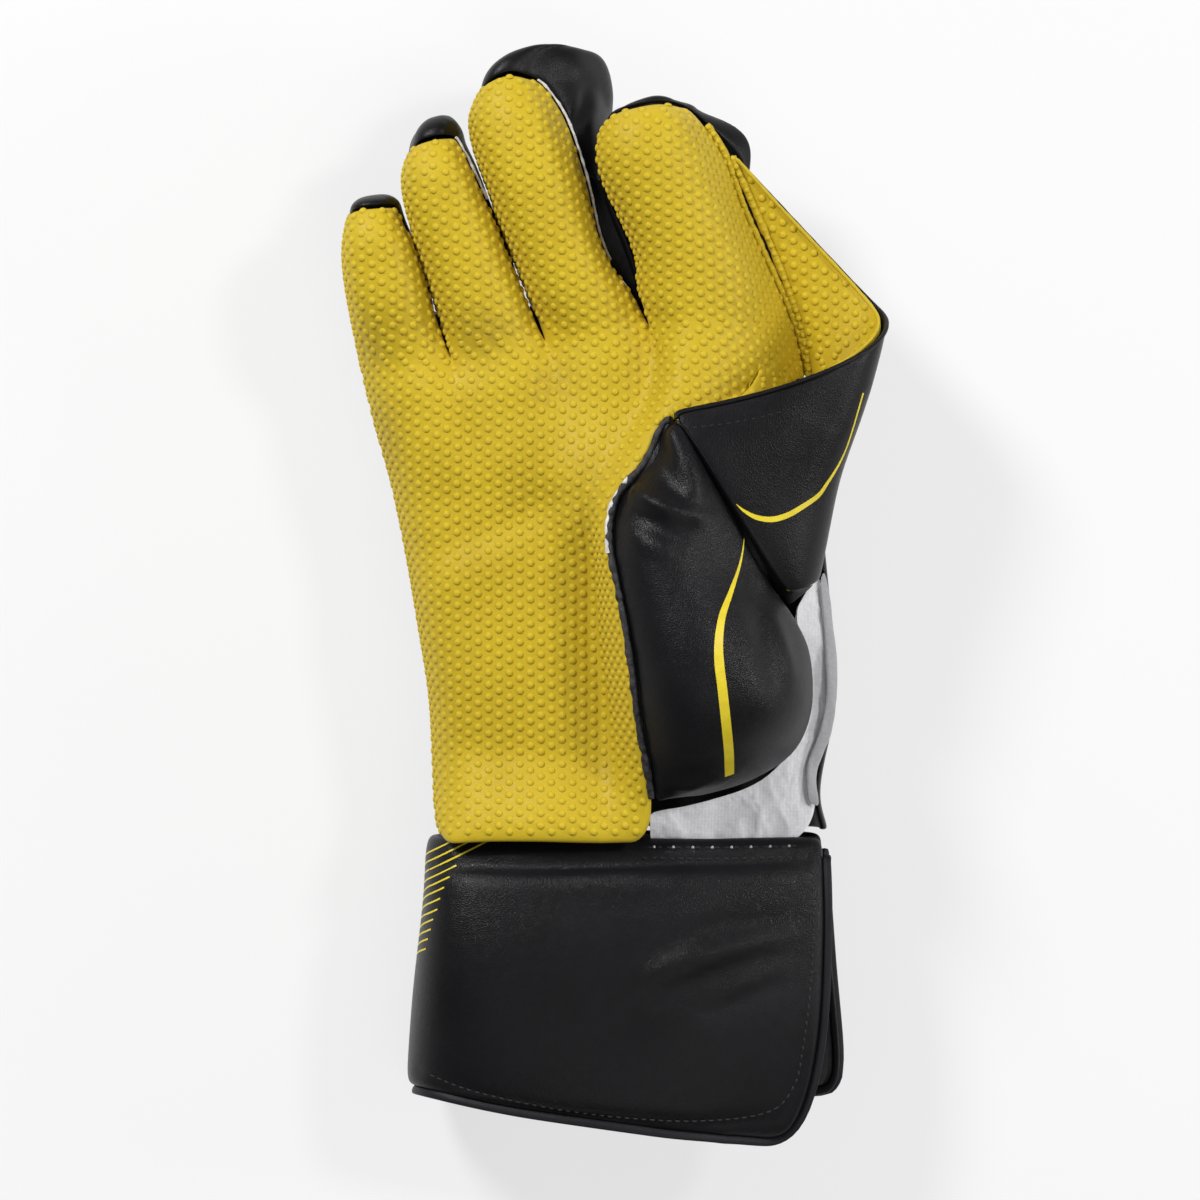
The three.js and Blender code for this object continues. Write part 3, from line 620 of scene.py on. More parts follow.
def hug(piece, tree):
    """Brings a roll up against a surface, each length of it as a whole."""
    points = points_of(piece)
    nearest = [tree.find_nearest(Vector(point))[0] - Vector(point) for point in points]
    search = KDTree(len(points))
    for i, point in enumerate(points):
        search.insert(point, i)
    search.balance()
    moved = points.copy()
    for i, point in enumerate(points):
        around = [nearest[j] for _, j, _ in search.find_range(point, HUG_REACH)]
        gap = min(step.length for step in around)
        moved[i] += np.array(sum(around, Vector()).normalized() * (gap + HUG_SINK))
    move_points(piece, moved)


# Materials

def put(tree, kind, inputs=None, **settings):
    """Adds a shader node, sets its values and links what it is given."""
    node = tree.nodes.new(kind)
    for setting, value in settings.items():
        setattr(node, setting, value)
    for label, value in (inputs or {}).items():
        if isinstance(value, bpy.types.NodeSocket):
            tree.links.new(value, node.inputs[label])
        else:
            node.inputs[label].default_value = value
    return node


def math_of(tree, operation, *values, clamp=False):
    inputs = dict(enumerate(values))
    return put(tree, "ShaderNodeMath", inputs, operation=operation, use_clamp=clamp).outputs[0]


def noise_of(tree, place, scale, detail, **values):
    inputs = {"Vector": place, "Scale": scale, "Detail": detail, **values}
    return put(tree, "ShaderNodeTexNoise", inputs).outputs


def bent_place(tree, place, scale, detail, far):
    """A place moved a little by noise, so that what is laid on it runs unevenly."""
    bend = noise_of(tree, place, scale, detail)["Color"]
    shift = put(tree, "ShaderNodeVectorMath", {0: bend, 1: (far, far, far)}, operation="MULTIPLY")
    moved = put(tree, "ShaderNodeVectorMath", {0: place, 1: shift.outputs[0]}, operation="ADD")
    return moved.outputs[0]


def new_group(name, inputs, outputs):
    """A shader node group with named sockets. An input is a number or None for a vector."""
    group = bpy.data.node_groups.new(name, "ShaderNodeTree")
    for label, value in inputs.items():
        kind = "NodeSocketVector" if value is None else "NodeSocketFloat"
        socket = group.interface.new_socket(label, in_out="INPUT", socket_type=kind)
        if value is not None:
            socket.default_value = value
    for label in outputs:
        group.interface.new_socket(label, in_out="OUTPUT", socket_type="NodeSocketFloat")
    given = group.nodes.new("NodeGroupInput").outputs
    return group, given, group.nodes.new("NodeGroupOutput").inputs


def blotch_group():
    """Soft uneven patches, for colour and gloss that vary over a surface."""
    group, given, result = new_group(
        "blotches", {"Place": None, "Scale": 40.0, "Contrast": 2.0}, ["Tone"])
    cloudy = noise_of(group, given["Place"], given["Scale"], 4.0, Roughness=0.55)["Fac"]
    centred = math_of(group, "SUBTRACT", cloudy, 0.5)
    strong = math_of(group, "MULTIPLY", centred, given["Contrast"])
    group.links.new(math_of(group, "ADD", strong, 0.5, clamp=True), result["Tone"])
    return group


def grain_group():
    """Leather grain: small rounded cells with fine creases between them, and a finer roughness."""
    group, given, result = new_group(
        "leather grain", {"Place": None, "Scale": 1300.0}, ["Height", "Pores"])
    place = bent_place(group, given["Place"], 260.0, 2.0, 0.0012)
    cells = put(group, "ShaderNodeTexVoronoi", {"Vector": place, "Scale": given["Scale"]},
                feature="DISTANCE_TO_EDGE")
    crease = math_of(group, "MULTIPLY", cells.outputs["Distance"], 4.0, clamp=True)
    fine = noise_of(group, given["Place"], 5200.0, 2.0)["Fac"]
    group.links.new(math_of(group, "MULTIPLY_ADD", fine, 0.35, crease), result["Height"])
    group.links.new(math_of(group, "SUBTRACT", 1.0, crease, clamp=True), result["Pores"])
    return group


def weave_group():
    """Threads that cross: ribs side by side along X, and fainter ones along Y."""
    group, given, result = new_group("weave", {"Place": None, "Threads": 1500.0}, ["Height"])
    place = bent_place(group, given["Place"], 150.0, 3.0, 0.0007)
    ribs, picks = (put(group, "ShaderNodeTexWave", {"Vector": place, "Scale": given["Threads"]},
                       bands_direction=axis).outputs["Fac"] for axis in "XY")
    crossed = math_of(group, "MULTIPLY_ADD", picks, 0.5, ribs)
    slubs = noise_of(group, given["Place"], 900.0, 3.0)["Fac"]
    group.links.new(math_of(group, "MULTIPLY", crossed, slubs), result["Height"])
    return group


BLOTCHES = blotch_group()
GRAIN = grain_group()
WEAVE = weave_group()


def use_group(tree, group, inputs):
    return put(tree, "ShaderNodeGroup", inputs, node_tree=group).outputs


def patches(tree, place, scale, contrast):
    """Soft uneven patches: 0 to 1."""
    inputs = {"Place": place, "Scale": scale, "Contrast": contrast}
    return use_group(tree, BLOTCHES, inputs)["Tone"]


def new_material(name, **values):
    """A material with its plain shader values, its tree, its shader and the surface's own place."""
    material = bpy.data.materials.new(name)
    material.use_nodes = True
    tree = material.node_tree
    shader = tree.nodes["Principled BSDF"]
    for label, value in values.items():
        shader.inputs[label.replace("_", " ")].default_value = value
    place = put(tree, "ShaderNodeTexCoord").outputs["Object"]
    return material, tree, shader, place


def mixed(tree, share, low, high):
    """A colour between two, by a share that varies over the surface."""
    low, high = (value if isinstance(value, bpy.types.NodeSocket) else (*value, 1)
                 for value in (low, high))
    return put(tree, "ShaderNodeMix", {0: share, 6: low, 7: high}, data_type="RGBA").outputs[2]


def between(tree, share, low, high):
    """A number between two, by a share that varies over the surface."""
    inputs = {"Value": share, "To Min": low, "To Max": high}
    return put(tree, "ShaderNodeMapRange", inputs).outputs[0]


def bump(tree, shader, height, distance):
    node = put(tree, "ShaderNodeBump", {"Height": height, "Distance": distance, "Strength": 1.0})
    tree.links.new(node.outputs[0], shader.inputs["Normal"])


def spot_mask(tree, place, centre, radius):
    """1 at one place on the surface, fading to 0 at a radius; both in mm."""
    away = put(tree, "ShaderNodeVectorMath", {0: place, 1: tuple(c * MM for c in centre)},
               operation="DISTANCE")
    return put(tree, "ShaderNodeMapRange", {
        "Value": away.outputs["Value"], "From Min": 0.0, "From Max": radius * MM,
        "To Min": 1.0, "To Max": 0.0}, interpolation_type="SMOOTHSTEP").outputs[0]


RUBBER_YELLOW = (0.56, 0.408, 0.014)
RUBBER_SHADE = (0.47, 0.330, 0.010)
# The pale yellow towards the pimple tops is a painted highlight.
RUBBER_PIMPLE_HIGHLIGHT = (0.62, 0.470, 0.024)
PIMPLE_HIGHLIGHT_SHARE = 0.45
SOIL = (0.16, 0.105, 0.035)
SOIL_SHARE = 0.28
SOILED_SPOTS = (((-40, 82, 50), 16), ((-20, 66, 50), 12), ((-5, 30, 52), 20), ((-72, 54, 35), 18))


def rubber_material():
    """Matt moulded rubber with a painted highlight, paler towards its pimple tops, and soiled where
    balls land.
    """
    material, tree, shader, place = new_material("yellow pimpled rubber", Specular_IOR_Level=0.25,
                                                 Sheen_Weight=0.05, Sheen_Roughness=0.5)
    colour = mixed(tree, patches(tree, place, 55.0, 1.6), RUBBER_SHADE, RUBBER_YELLOW)
    rise = put(tree, "ShaderNodeAttribute", attribute_name="rise").outputs["Fac"]
    # Painted highlight: each pimple is paler the higher up it is.
    pimple_highlight = math_of(tree, "MULTIPLY", rise, PIMPLE_HIGHLIGHT_SHARE)
    colour = mixed(tree, pimple_highlight, colour, RUBBER_PIMPLE_HIGHLIGHT)
    specks = patches(tree, place, 420.0, 5.0)
    for centre, radius in SOILED_SPOTS:
        dirt = math_of(tree, "MULTIPLY", spot_mask(tree, place, centre, radius), specks)
        colour = mixed(tree, math_of(tree, "MULTIPLY", dirt, SOIL_SHARE), colour, SOIL)
    tree.links.new(colour, shader.inputs["Base Color"])
    tree.links.new(between(tree, specks, 0.50, 0.64), shader.inputs["Roughness"])
    bump(tree, shader, noise_of(tree, place, 1800.0, 3.0)["Fac"], 0.08 * MM)
    return material


def leather_material(name, colour, dusty, roughness, grain, depth):
    """Grained black leather, a little greyer and duller in patches. The depth is in mm."""
    material, tree, shader, place = new_material(name, Specular_IOR_Level=0.17)
    tone = patches(tree, place, 32.0, 1.8)
    skin_of = use_group(tree, GRAIN, {"Place": place, "Scale": grain})
    tree.links.new(mixed(tree, tone, colour, dusty), shader.inputs["Base Color"])
    gloss = between(tree, tone, roughness, roughness + 0.10)
    rough = math_of(tree, "MULTIPLY_ADD", skin_of["Pores"], 0.12, gloss)
    tree.links.new(rough, shader.inputs["Roughness"])
    bump(tree, shader, skin_of["Height"], depth * MM)
    return material


def cloth_material(name, colour, shade, threads, depth):
    """Woven cotton with painted shade, a darker colour, between its threads. The depth is in mm."""
    material, tree, shader, place = new_material(name, Specular_IOR_Level=0.2, Roughness=0.92,
                                                 Sheen_Weight=0.25, Sheen_Roughness=0.6)
    height = use_group(tree, WEAVE, {"Place": place, "Threads": threads})["Height"]
    light = mixed(tree, patches(tree, place, 70.0, 1.6), shade, colour)
    # Painted shade: the colour between the threads is darker.
    dark = tuple(part * 0.72 for part in shade)
    on_thread = math_of(tree, "MULTIPLY", height, 1.2, clamp=True)
    tree.links.new(mixed(tree, on_thread, dark, light), shader.inputs["Base Color"])
    bump(tree, shader, height, depth * MM)
    return material


def plain_material(name, low, high, roughness, scale, depth):
    """A printed, spun or frayed finish with slight unevenness. The depth is in mm."""
    material, tree, shader, place = new_material(name, Specular_IOR_Level=0.35)
    tone = patches(tree, place, scale, 2.5)
    tree.links.new(mixed(tree, tone, low, high), shader.inputs["Base Color"])
    gloss = between(tree, tone, roughness - 0.05, roughness + 0.08)
    tree.links.new(gloss, shader.inputs["Roughness"])
    bump(tree, shader, tone, depth * MM)
    return material


RUBBER = rubber_material()
DEEP_BLACK = (0.0042, 0.0039, 0.0046)
LEATHER = leather_material(
    "black leather", DEEP_BLACK, (0.007, 0.0065, 0.0078), 0.27, 1300.0, 0.03)
PADDED_LEATHER = leather_material(
    "padded black leather", DEEP_BLACK, (0.0075, 0.0069, 0.0083), 0.26, 1500.0, 0.04)
WELT_LEATHER = leather_material(
    "black welt leather", (0.007, 0.0066, 0.0078), (0.016, 0.015, 0.018), 0.36, 1500.0, 0.03)
INNER_CLOTH = cloth_material(
    "dark inner cloth", (0.035, 0.034, 0.037), (0.022, 0.021, 0.024), 1100.0, 0.05)
BACKING = cloth_material(
    "rubber's cotton backing", (0.62, 0.60, 0.57), (0.48, 0.46, 0.43), 1400.0, 0.05)
COTTON = cloth_material(
    "white gusset cotton", (0.88, 0.87, 0.89), (0.82, 0.81, 0.835), 720.0, 0.05)
TAPE = cloth_material(
    "grey bias tape", (0.56, 0.555, 0.575), (0.44, 0.435, 0.455), 1700.0, 0.07)
PRINT = plain_material(
    "yellow print", (0.66, 0.51, 0.014), (0.74, 0.60, 0.022), 0.42, 300.0, 0.03)
# Black thread for the stitches, and also the painted shade of the bands under the seams.
BLACK_THREAD_AND_SEAM_SHADE = plain_material(
    "black thread and painted seam shade", (0.006, 0.006, 0.007), (0.02, 0.019, 0.022), 0.6, 900.0, 0.05)
# Painted highlight: pale dots that stand for glints on the cuff's black stitches.
PAINTED_STITCH_GLINTS = plain_material(
    "painted stitch glints", (0.42, 0.41, 0.42), (0.62, 0.61, 0.62), 0.7, 900.0, 0.05)
FRAYED = plain_material(
    "frayed leather edge", (0.006, 0.0055, 0.0065), (0.045, 0.042, 0.046), 0.6, 500.0, 0.25)
RAW_WHITE = plain_material(
    "raw white seam edge", (0.40, 0.39, 0.38), (0.78, 0.77, 0.76), 0.8, 700.0, 0.15)


# The palm

PALM_CREASES = (
    (((-66.7, 14.4), (-50.7, 16.5), (-29.2, 24.8), (-7.1, 35.0)), -1.3, 5.0),
    (((-64.6, -0.4), (-50.7, 4.2), (-32.3, 11.3)), 0.7, 6.0),
    (((-56.3, -45.9), (-35.4, -47.1), (-16.9, -49.6), (7.7, -52.0)), -1.0, 4.5),
    (((-7.7, 13.2), (-7.1, -12.7), (-3.4, -28.1), (-0.9, -45.0)), -0.9, 4.0),
    (((-49.2, 61.7), (-45.2, 48.8), (-42.1, 36.5)), -1.2, 5.0),
    (((-21.5, 81.1), (-17.5, 70.3), (-15.4, 58.1)), -1.2, 5.0),
    (((10.1, 83.3), (12.3, 73.4), (9.8, 60.2)), -1.0, 5.0),
    (((-41.5, 62.7), (-23.1, 69.7), (-1.5, 76.5)), 0.6, 9.0),
)
PALM_ROWS_FROM = -71.5 * MM
PALM_ROWS_TO = 162.0 * MM
SLITS = (
    (((-48.0, 68.0), (-52.5, 80.0), (-55.3, 88.0), (-57.5, 96.0), (-60.5, 105.0), (-62.5, 112.0)),
     2.5, 0.6),
    (((-18.0, 73.0), (-22.5, 81.5), (-25.8, 90.0), (-29.3, 98.0), (-33.0, 106.5), (-38.0, 119.0)),
     2.5, 0.6),
    (((13.5, 75.0), (10.5, 84.0), (7.5, 92.0), (5.5, 98.0)), 3.4, 0.8),
)
# Where the sheet's cut edge shows and is rubber like its face: low and high x, low and high y.
RUBBER_EDGES = ((42, 63, 56, 97), (-60, 15, 66, 100))


def palm():
    piece, face = sheet_of("palm_rubber", "palm_facing", RUBBER_WALL, 2, RUBBER, BACKING)
    for each in (piece, face):
        press(each, PALM_CREASES)
        ripple(each, height=0.5, size=34, seed=1)
        draw_in(each, SLITS)
    for polygon in piece.data.polygons:
        x, y, _ = polygon.center / MM
        if any(left < x < right and low < y < high for left, right, low, high in RUBBER_EDGES):
            polygon.material_index = 0
    studded(piece, face, PALM_ROWS_FROM, PALM_ROWS_TO, 1.6 * MM)
    hand_in(piece, "yellow_rubber", "palm_facing")
    return face


# The web between thumb and index

def web():
    lining, pocket = sheet_of("web_rubber", "web_facing", WEB_WALL, 3, RUBBER, inner=True)
    low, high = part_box("web_facing")
    studded(lining, pocket, low.y + 2 * MM, high.y - 1 * MM, 1.4 * MM)
    hand_in(lining, "yellow_rubber", "web_facing")
    leather, face = sheet_of("web_leather", "web_back", WEB_WALL, 3, LEATHER)
    hand_in(leather, "black_leather", "web_back")
    return pocket, face, surface(leather)


# The leather backs

DOME_FOLDS = (
    (((-8.9, 157.8), (-9.5, 152.1), (-12.7, 145.5)), -1.1, 1.7),
    (((-6.2, 157.5), (-6.4, 151.3), (-8.8, 144.1)), 0.7, 2.2),
    (((-14.0, 165.5), (-9.0, 163.5), (-4.0, 159.0)), 0.5, 3.0),
    (((-3.5, 158.5), (-1.0, 151.0), (-1.0, 143.0)), -0.6, 2.0),
)
INDEX_TIP = {"centre": (36, 138), "reach": 15, "move": (6.5, 3.0, 0), "top": 46}


def finger_backs():
    for seed, finger in enumerate(FINGERS):
        piece, face = sheet_of(f"{finger}_leather", f"{finger}_back", LEATHER_WALL, 3,
                               LEATHER, INNER_CLOTH)
        discard(face)
        ripple(piece, height=0.9, size=13, stretch=(1, 0.6, 1), seed=seed)
        if finger == "middle":
            press(piece, DOME_FOLDS, facing=-0.2)
        if finger == "index":
            swell(piece, **INDEX_TIP)
        hand_in(piece, "black_leather", f"{finger}_back")


def back_of_hand():
    piece, face = sheet_of("back_padding", "hand_back", BACK_WALL, 3, PADDED_LEATHER, INNER_CLOTH)
    hand_in(piece, "black_leather", "hand_back")
    return face


THUMB_FOLDS = (
    (((14.8, 55.7), (20.0, 46.4), (23.7, 37.1), (25.5, 26.7)), 2.25, 3.38),
    (((2.2, 34.1), (9.2, 30.4), (17.5, 26.7), (27.4, 24.2)), 2.25, 3.12),
    (((11.4, 48.1), (16.3, 35.9), (20.6, 30.4)), -2.1, 4.68),
    (((4.0, 26.8), (13.8, 21.1), (23.1, 16.5)), -1.35, 4.42),
    (((2.5, 22.0), (10.0, 17.5), (18.0, 14.0)), 0.9, 3.38),
    (((47.0, -1.9), (50.1, -12.7), (53.8, -25.6)), 1.5, 2.86),
    (((42.1, 6.2), (46.4, -12.7), (49.5, -28.1)), -1.5, 3.9),
    (((12.3, -56.3), (23.1, -57.6), (36.9, -55.7)), 1.2, 2.34),
)
THUMB_STRIPE = ((38.4, 23.9), (39.3, 18.4), (38.1, 10.8), (35.3, 2.4), (32.5, -5.2), (31.4, -12.7),
                (31.5, -19.3), (32.5, -27.7), (33.6, -37.2), (34.6, -46.5), (35.0, -54.0))
THUMB_STRIPE_WIDTHS = (0.2, 0.8, 1.6, 2.3, 2.7, 3.0, 3.0, 3.0, 3.0, 3.0, 3.0)


def thumb():
    piece, face = sheet_of("thumb_padding", "thumb_back", THUMB_WALL, 3,
                           PADDED_LEATHER, INNER_CLOTH)
    for each in (piece, face):
        press(each, THUMB_FOLDS)
        ripple(each, height=0.7, size=24, seed=4)
    stripe = printed("thumb_stripe", surface(piece), THUMB_STRIPE, THUMB_STRIPE_WIDTHS)
    hand_in(stripe, "yellow_rubber", material=PRINT)
    hand_in(piece, "black_leather", "thumb_back")
    return face


WEB_STRIPE = ((36.9, 28.8), (39.5, 26.6), (43.3, 24.7), (48.0, 24.2), (52.7, 25.5), (57.4, 28.2),
              (62.1, 31.5), (64.9, 35.3), (68.2, 40.5), (70.7, 45.7), (72.6, 51.3), (74.4, 57.4),
              (76.0, 63.0))
WEB_STRIPE_WIDTHS = (0.2, 0.9, 1.5, 1.7, 1.7, 1.6, 1.5, 1.3, 1.1, 0.9, 0.9, 0.8, 0.8)
WEB_STITCHES = ((23.1, 52.0), (38.4, 54.1), (53.8, 58.1), (67.7, 65.0), (76.8, 72.4))

# Runs of free edges: a place near the start and one near the end.
WEB_RIM = ((19, 55, 71), (34, 139, 39))
WEB_THUMB_SIDE = ((19, 55, 71), (62, 5, 58))
POCKET_RIM = ((17, 57, 67), (35, 139, 42))
POCKET_INDEX_SIDE = ((35, 139, 42), (60, 62, 31))
INDEX_WEB_SIDE = ((29, 145, 46), (61, 66, 30))
FORK_MIDDLE_SIDE = ((9, 87, 44), (-9, 133, 44))
FORK_INDEX_SIDE = ((11, 84, 48), (-5, 129, 46))
MIDDLE_OUTER_SIDE = ((-24, 160, 44), (-2, 105, 41))
RING_OUTER_SIDE = ((-49, 142, 45), (-40, 124, 42))
PALM_THUMB_SIDE = ((16, 57, 65), (11, -66, 59))
THUMB_PALM_SIDE = ((16, 54, 68), (11, -57, 63))
THUMB_WEB_SIDE = ((18, 54, 70), (54, -3, 58))
BACK_KNUCKLE_SIDE = ((-77, 72, 15), (58, 70, 20))


def web_details(pocket, face, tree):
    stripe = printed("web_stripe", tree, WEB_STRIPE, WEB_STRIPE_WIDTHS)
    hand_in(stripe, "yellow_rubber", material=PRINT)
    line = laid_line(tree, WEB_STITCHES, 10)
    hand_in(sewn("web_stitches", line, 2.6 * MM, (0.85, 0.22, 0.22), BLACK_THREAD_AND_SEAM_SHADE), "black_leather")
    rim = edge_run(face, WEB_RIM, 120)
    hand_in(roll("web_binding", rim, 0.75 * MM, wobble=0.12, seed=3), "black_leather",
            material=LEATHER)
    lip = lifted(edge_run(pocket, POCKET_RIM, 120), 0.9 * MM)
    hand_in(roll("web_yellow_lip", lip, 0.6 * MM, wobble=0.2, seed=5), "yellow_rubber",
            material=RUBBER)


# Seams between the palm and what it is sewn to

UP = Vector((0, 0, 1))
STUD_PITCH = 2.7 * MM
STUD_LIFT = 1.2 * MM


def allowance(name, near, seed):
    """One rubber seam allowance, rolled up and studded with small pimples."""
    rolled = roll(name, lifted(near, 0.3 * MM), 1.15 * MM, wobble=0.3, seed=seed)
    spots = [(place + UP * STUD_LIFT, UP, ahead)
             for place, _, ahead in spaced(near, STUD_PITCH, 0.8 * MM)]
    studs = stamped(name + "_studs", dome(), spots, (0.75, 0.75, 0.9), "rise")
    for piece in (rolled, studs):
        piece.data.materials.append(RUBBER)
    return rolled, studs


def finger_seams(palm_face, pocket):
    index_side = edge_run(palm_face, INDEX_WEB_SIDE, 60)
    web_side = edge_run(pocket, POCKET_INDEX_SIDE, 60)
    middle = midway(index_side, web_side)
    # A black band under the seam, between the two sheets: painted shade in the seam's gap.
    gap = band("index_seam_painted_shade", lifted(index_side, -1.6 * MM), lifted(web_side, -1.2 * MM),
               0.6 * MM, BLACK_THREAD_AND_SEAM_SHADE)
    hand_in(gap, "black_leather")
    allowances = [*allowance("index_allowance", midway(middle, index_side, 1.15), 2),
                  *allowance("web_allowance", midway(middle, web_side, 0.85), 8)]
    hand_in(join("index_seam_allowances", allowances), "yellow_rubber")

    left = lifted(edge_run(palm_face, FORK_MIDDLE_SIDE, 40), -5 * MM)
    right = lifted(edge_run(palm_face, FORK_INDEX_SIDE, 40), -5 * MM)
    hand_in(band("middle_fork_leather", left, right, 0.8 * MM, LEATHER), "black_leather")
    edges = [roll("seam_edge", edge_run(palm_face, side, 60), 0.42 * MM, wobble=0.5, seed=4,
                  lift=0.1 * MM) for side in (MIDDLE_OUTER_SIDE, RING_OUTER_SIDE)]
    hand_in(join("raw_seam_edges", edges), "white_cotton", material=RAW_WHITE)


WHITE_EDGE_SPAN = slice(24, 52)


def thumb_seam(palm_face, thumb_face):
    palm_side = edge_run(palm_face, PALM_THUMB_SIDE, 140)
    thumb_side = edge_run(thumb_face, THUMB_PALM_SIDE, 140)
    middle = midway(palm_side, thumb_side, 0.55)
    # A black band under the seam, between the two sheets: painted shade in the seam's gap.
    gap = band("thumb_seam_painted_shade", lifted(palm_side, -1.8 * MM), lifted(thumb_side, -1.8 * MM),
               0.5 * MM, BLACK_THREAD_AND_SEAM_SHADE)
    hand_in(gap, "black_leather")
    edge = roll("frayed_thumb_edge", lifted(middle, 0.2 * MM), 1.1 * MM, wobble=0.5, seed=9)
    hand_in(edge, "black_leather", material=FRAYED)
    white = lifted(midway(palm_side, middle, 0.2), 0.5 * MM)[WHITE_EDGE_SPAN]
    edge = roll("white_thumb_edge", white, 0.65 * MM, wobble=0.5, seed=6)
    hand_in(edge, "white_cotton", material=RAW_WHITE)


KNUCKLE_FRONT = (
    (-80, 90, 22), (-77.5, 90, 14), (-72, 90, 9), (-62, 90, 9), (-57, 89, 16), (-55, 88, 22),
    (-53, 89, 17), (-49, 89, 10), (-40, 90, 8), (-33, 90, 9), (-28, 90, 17), (-26, 90, 24),
    (-24, 92, 16), (-17, 92, 9), (-10, 93, 8), (-3, 93, 9), (3, 93, 15), (6, 93, 23),
    (9, 94, 17), (14, 94, 13), (21, 95, 10), (30, 95, 9), (37, 95, 10), (45, 95, 14),
    (50, 95, 22), (53, 92, 31))


def knuckles(back_face):
    """The leather over the knuckles, between the back of the hand and the finger backs."""
    rear = edge_run(back_face, BACK_KNUCKLE_SIDE, 150)
    front = evened([(Vector(point) * MM, UP) for point in curved(KNUCKLE_FRONT, 6)], 150)
    piece = band("knuckle_leather", lifted(rear, 0.8 * MM), lifted(front, 0.8 * MM),
                 1.4 * MM, LEATHER)
    hand_in(piece, "black_leather")


def web_seam(thumb_face, web_face):
    thumb_side = lifted(edge_run(thumb_face, THUMB_WEB_SIDE, 80), -0.6 * MM)
    web_side = lifted(edge_run(web_face, WEB_THUMB_SIDE, 80), 0.3 * MM)
    covering = band("web_thumb_seam", thumb_side, web_side, 0.9 * MM, LEATHER)
    subdivide(covering, 2)
    hand_in(covering, "black_leather")


# The gusset

GUSSET_SPARE = 0.015
CLOTH_FRAMES = 18
CLOTH_REACH = 2.5 * MM
# Below this place the gusset is tucked under the cuff's edge, over this length.
TUCK_FROM = -62 * MM
TUCK_LENGTH = 8 * MM
TUCK_ALONG = 3.5 * MM
TUCK_DOWN = 2.5 * MM


def settle(piece):
    """Lets cloth that was cut a little too large find its folds, with its edge sewn down."""
    work = bmesh.new()
    work.from_mesh(piece.data)
    edge = [vert.index for vert in work.verts if vert.is_boundary]
    work.free()
    sewn_down = piece.vertex_groups.new(name="sewn edge")
    sewn_down.add(edge, 1.0, "REPLACE")
    select_only(piece)
    modifier = piece.modifiers.new("Cloth", "CLOTH")
    cloth = modifier.settings
    cloth.vertex_group_mass = sewn_down.name
    cloth.shrink_min = -GUSSET_SPARE
    cloth.quality = 8
    cloth.mass = 0.15
    cloth.effector_weights.gravity = 0
    modifier.collision_settings.use_collision = False
    modifier.point_cache.frame_end = CLOTH_FRAMES
    scene = bpy.context.scene
    for number in range(1, CLOTH_FRAMES + 1):
        scene.frame_set(number)
    bpy.ops.object.modifier_apply(modifier=modifier.name)
    scene.frame_set(1)
    piece.vertex_groups.clear()


def gusset():
    piece = skin("cotton_gusset", "wrist_gusset", COTTON_WALL)
    subdivide(piece, 3)
    before = points_of(piece)
    settle(piece)
    move = points_of(piece) - before
    far = np.linalg.norm(move, axis=1, keepdims=True)
    move_points(piece, before + move * np.minimum(1, CLOTH_REACH / np.maximum(far, 1e-9)))
    ripple(piece, height=0.3, size=6, stretch=(1.0, 0.25, 1.0), seed=6)
    points = points_of(piece)
    tucked = np.clip((TUCK_FROM - points[:, 1]) / TUCK_LENGTH, 0, 1) ** 2
    points[:, 1] -= tucked * TUCK_ALONG
    points[:, 2] -= tucked * TUCK_DOWN
    move_points(piece, points)
    apply_modifier(piece, "SOLIDIFY", thickness=COTTON_WALL * 0.7, offset=-1.0, use_rim=True)
    hand_in(piece, "white_cotton", "wrist_gusset", material=COTTON)


def tape():
    piece, face = sheet_of("bias_tape", "gusset_tape", TAPE_WALL, 3, TAPE)
    discard(face)
    ripple(piece, height=0.5, size=4, stretch=(1, 0.5, 1), seed=7)
    hand_in(piece, "bias_tape", "gusset_tape")


# The cuff

CUFF_FOLDS = (
    (((4.9, -111.4), (21.8, -102.8), (38.7, -99.4), (53.8, -98.2)), -1.5, 3.6),
    (((5.8, -125.5), (21.8, -119.7), (40.6, -112.3), (53.8, -108.3)), -1.65, 3.4),
    (((20.0, -127.4), (36.0, -124.3), (53.8, -116.0)), -1.05, 3.2),
    (((8.6, -116.9), (26.4, -110.2), (53.8, -103.7)), 1.2, 3.6),
    (((21.8, -123.4), (53.8, -112.3)), 0.9, 2.6),
    (((-62.0, -81.4), (-29.2, -82.0), (10.8, -81.2), (58.8, -80.2)), -1.8, 2.0),
    (((-62.0, -87.4), (-29.2, -88.0), (10.8, -87.2), (58.8, -86.2)), 0.75, 4.0),
    (((-61.0, -146.4), (-44.6, -153.7), (-16.9, -158.8), (26.1, -161.9), (50.0, -160.0)),
     -1.2, 2.4),
)
# The upper ends of the printed hatching. Each line falls off to the left until the cuff turns down.
HATCH_ENDS = ((-50.2, -74.8), (-44.8, -74.8), (-39.4, -74.8), (-48.9, -82.2), (-50.9, -85.6),
              (-52.6, -88.9), (-53.8, -92.3), (-54.7, -95.7), (-56.0, -98.8), (-56.8, -101.9),
              (-57.7, -104.9), (-58.4, -108.0))
HATCH_REACH = np.arange(0, 30, 0.8)
HATCH_FALL = 0.5
HATCH_TURN = 0.25
HATCH_WRAP = 16 * MM
HATCH_WIDTH = 0.55 * MM
UPPER_STITCHES = ((9.0, -76.4), (32.3, -76.6), (57.0, -76.2))
LOWER_STITCHES = ((7.7, -79.7), (32.3, -80.0), (57.5, -79.6))
WELT_STITCHES = ((60.8, -83.0), (61.0, -100.0), (60.0, -120.0), (57.8, -138.0), (55.0, -150.0),
                 (47.0, -158.0), (26.0, -160.5), (0.0, -159.2), (-25.0, -155.5), (-45.0, -151.0),
                 (-57.5, -146.5))
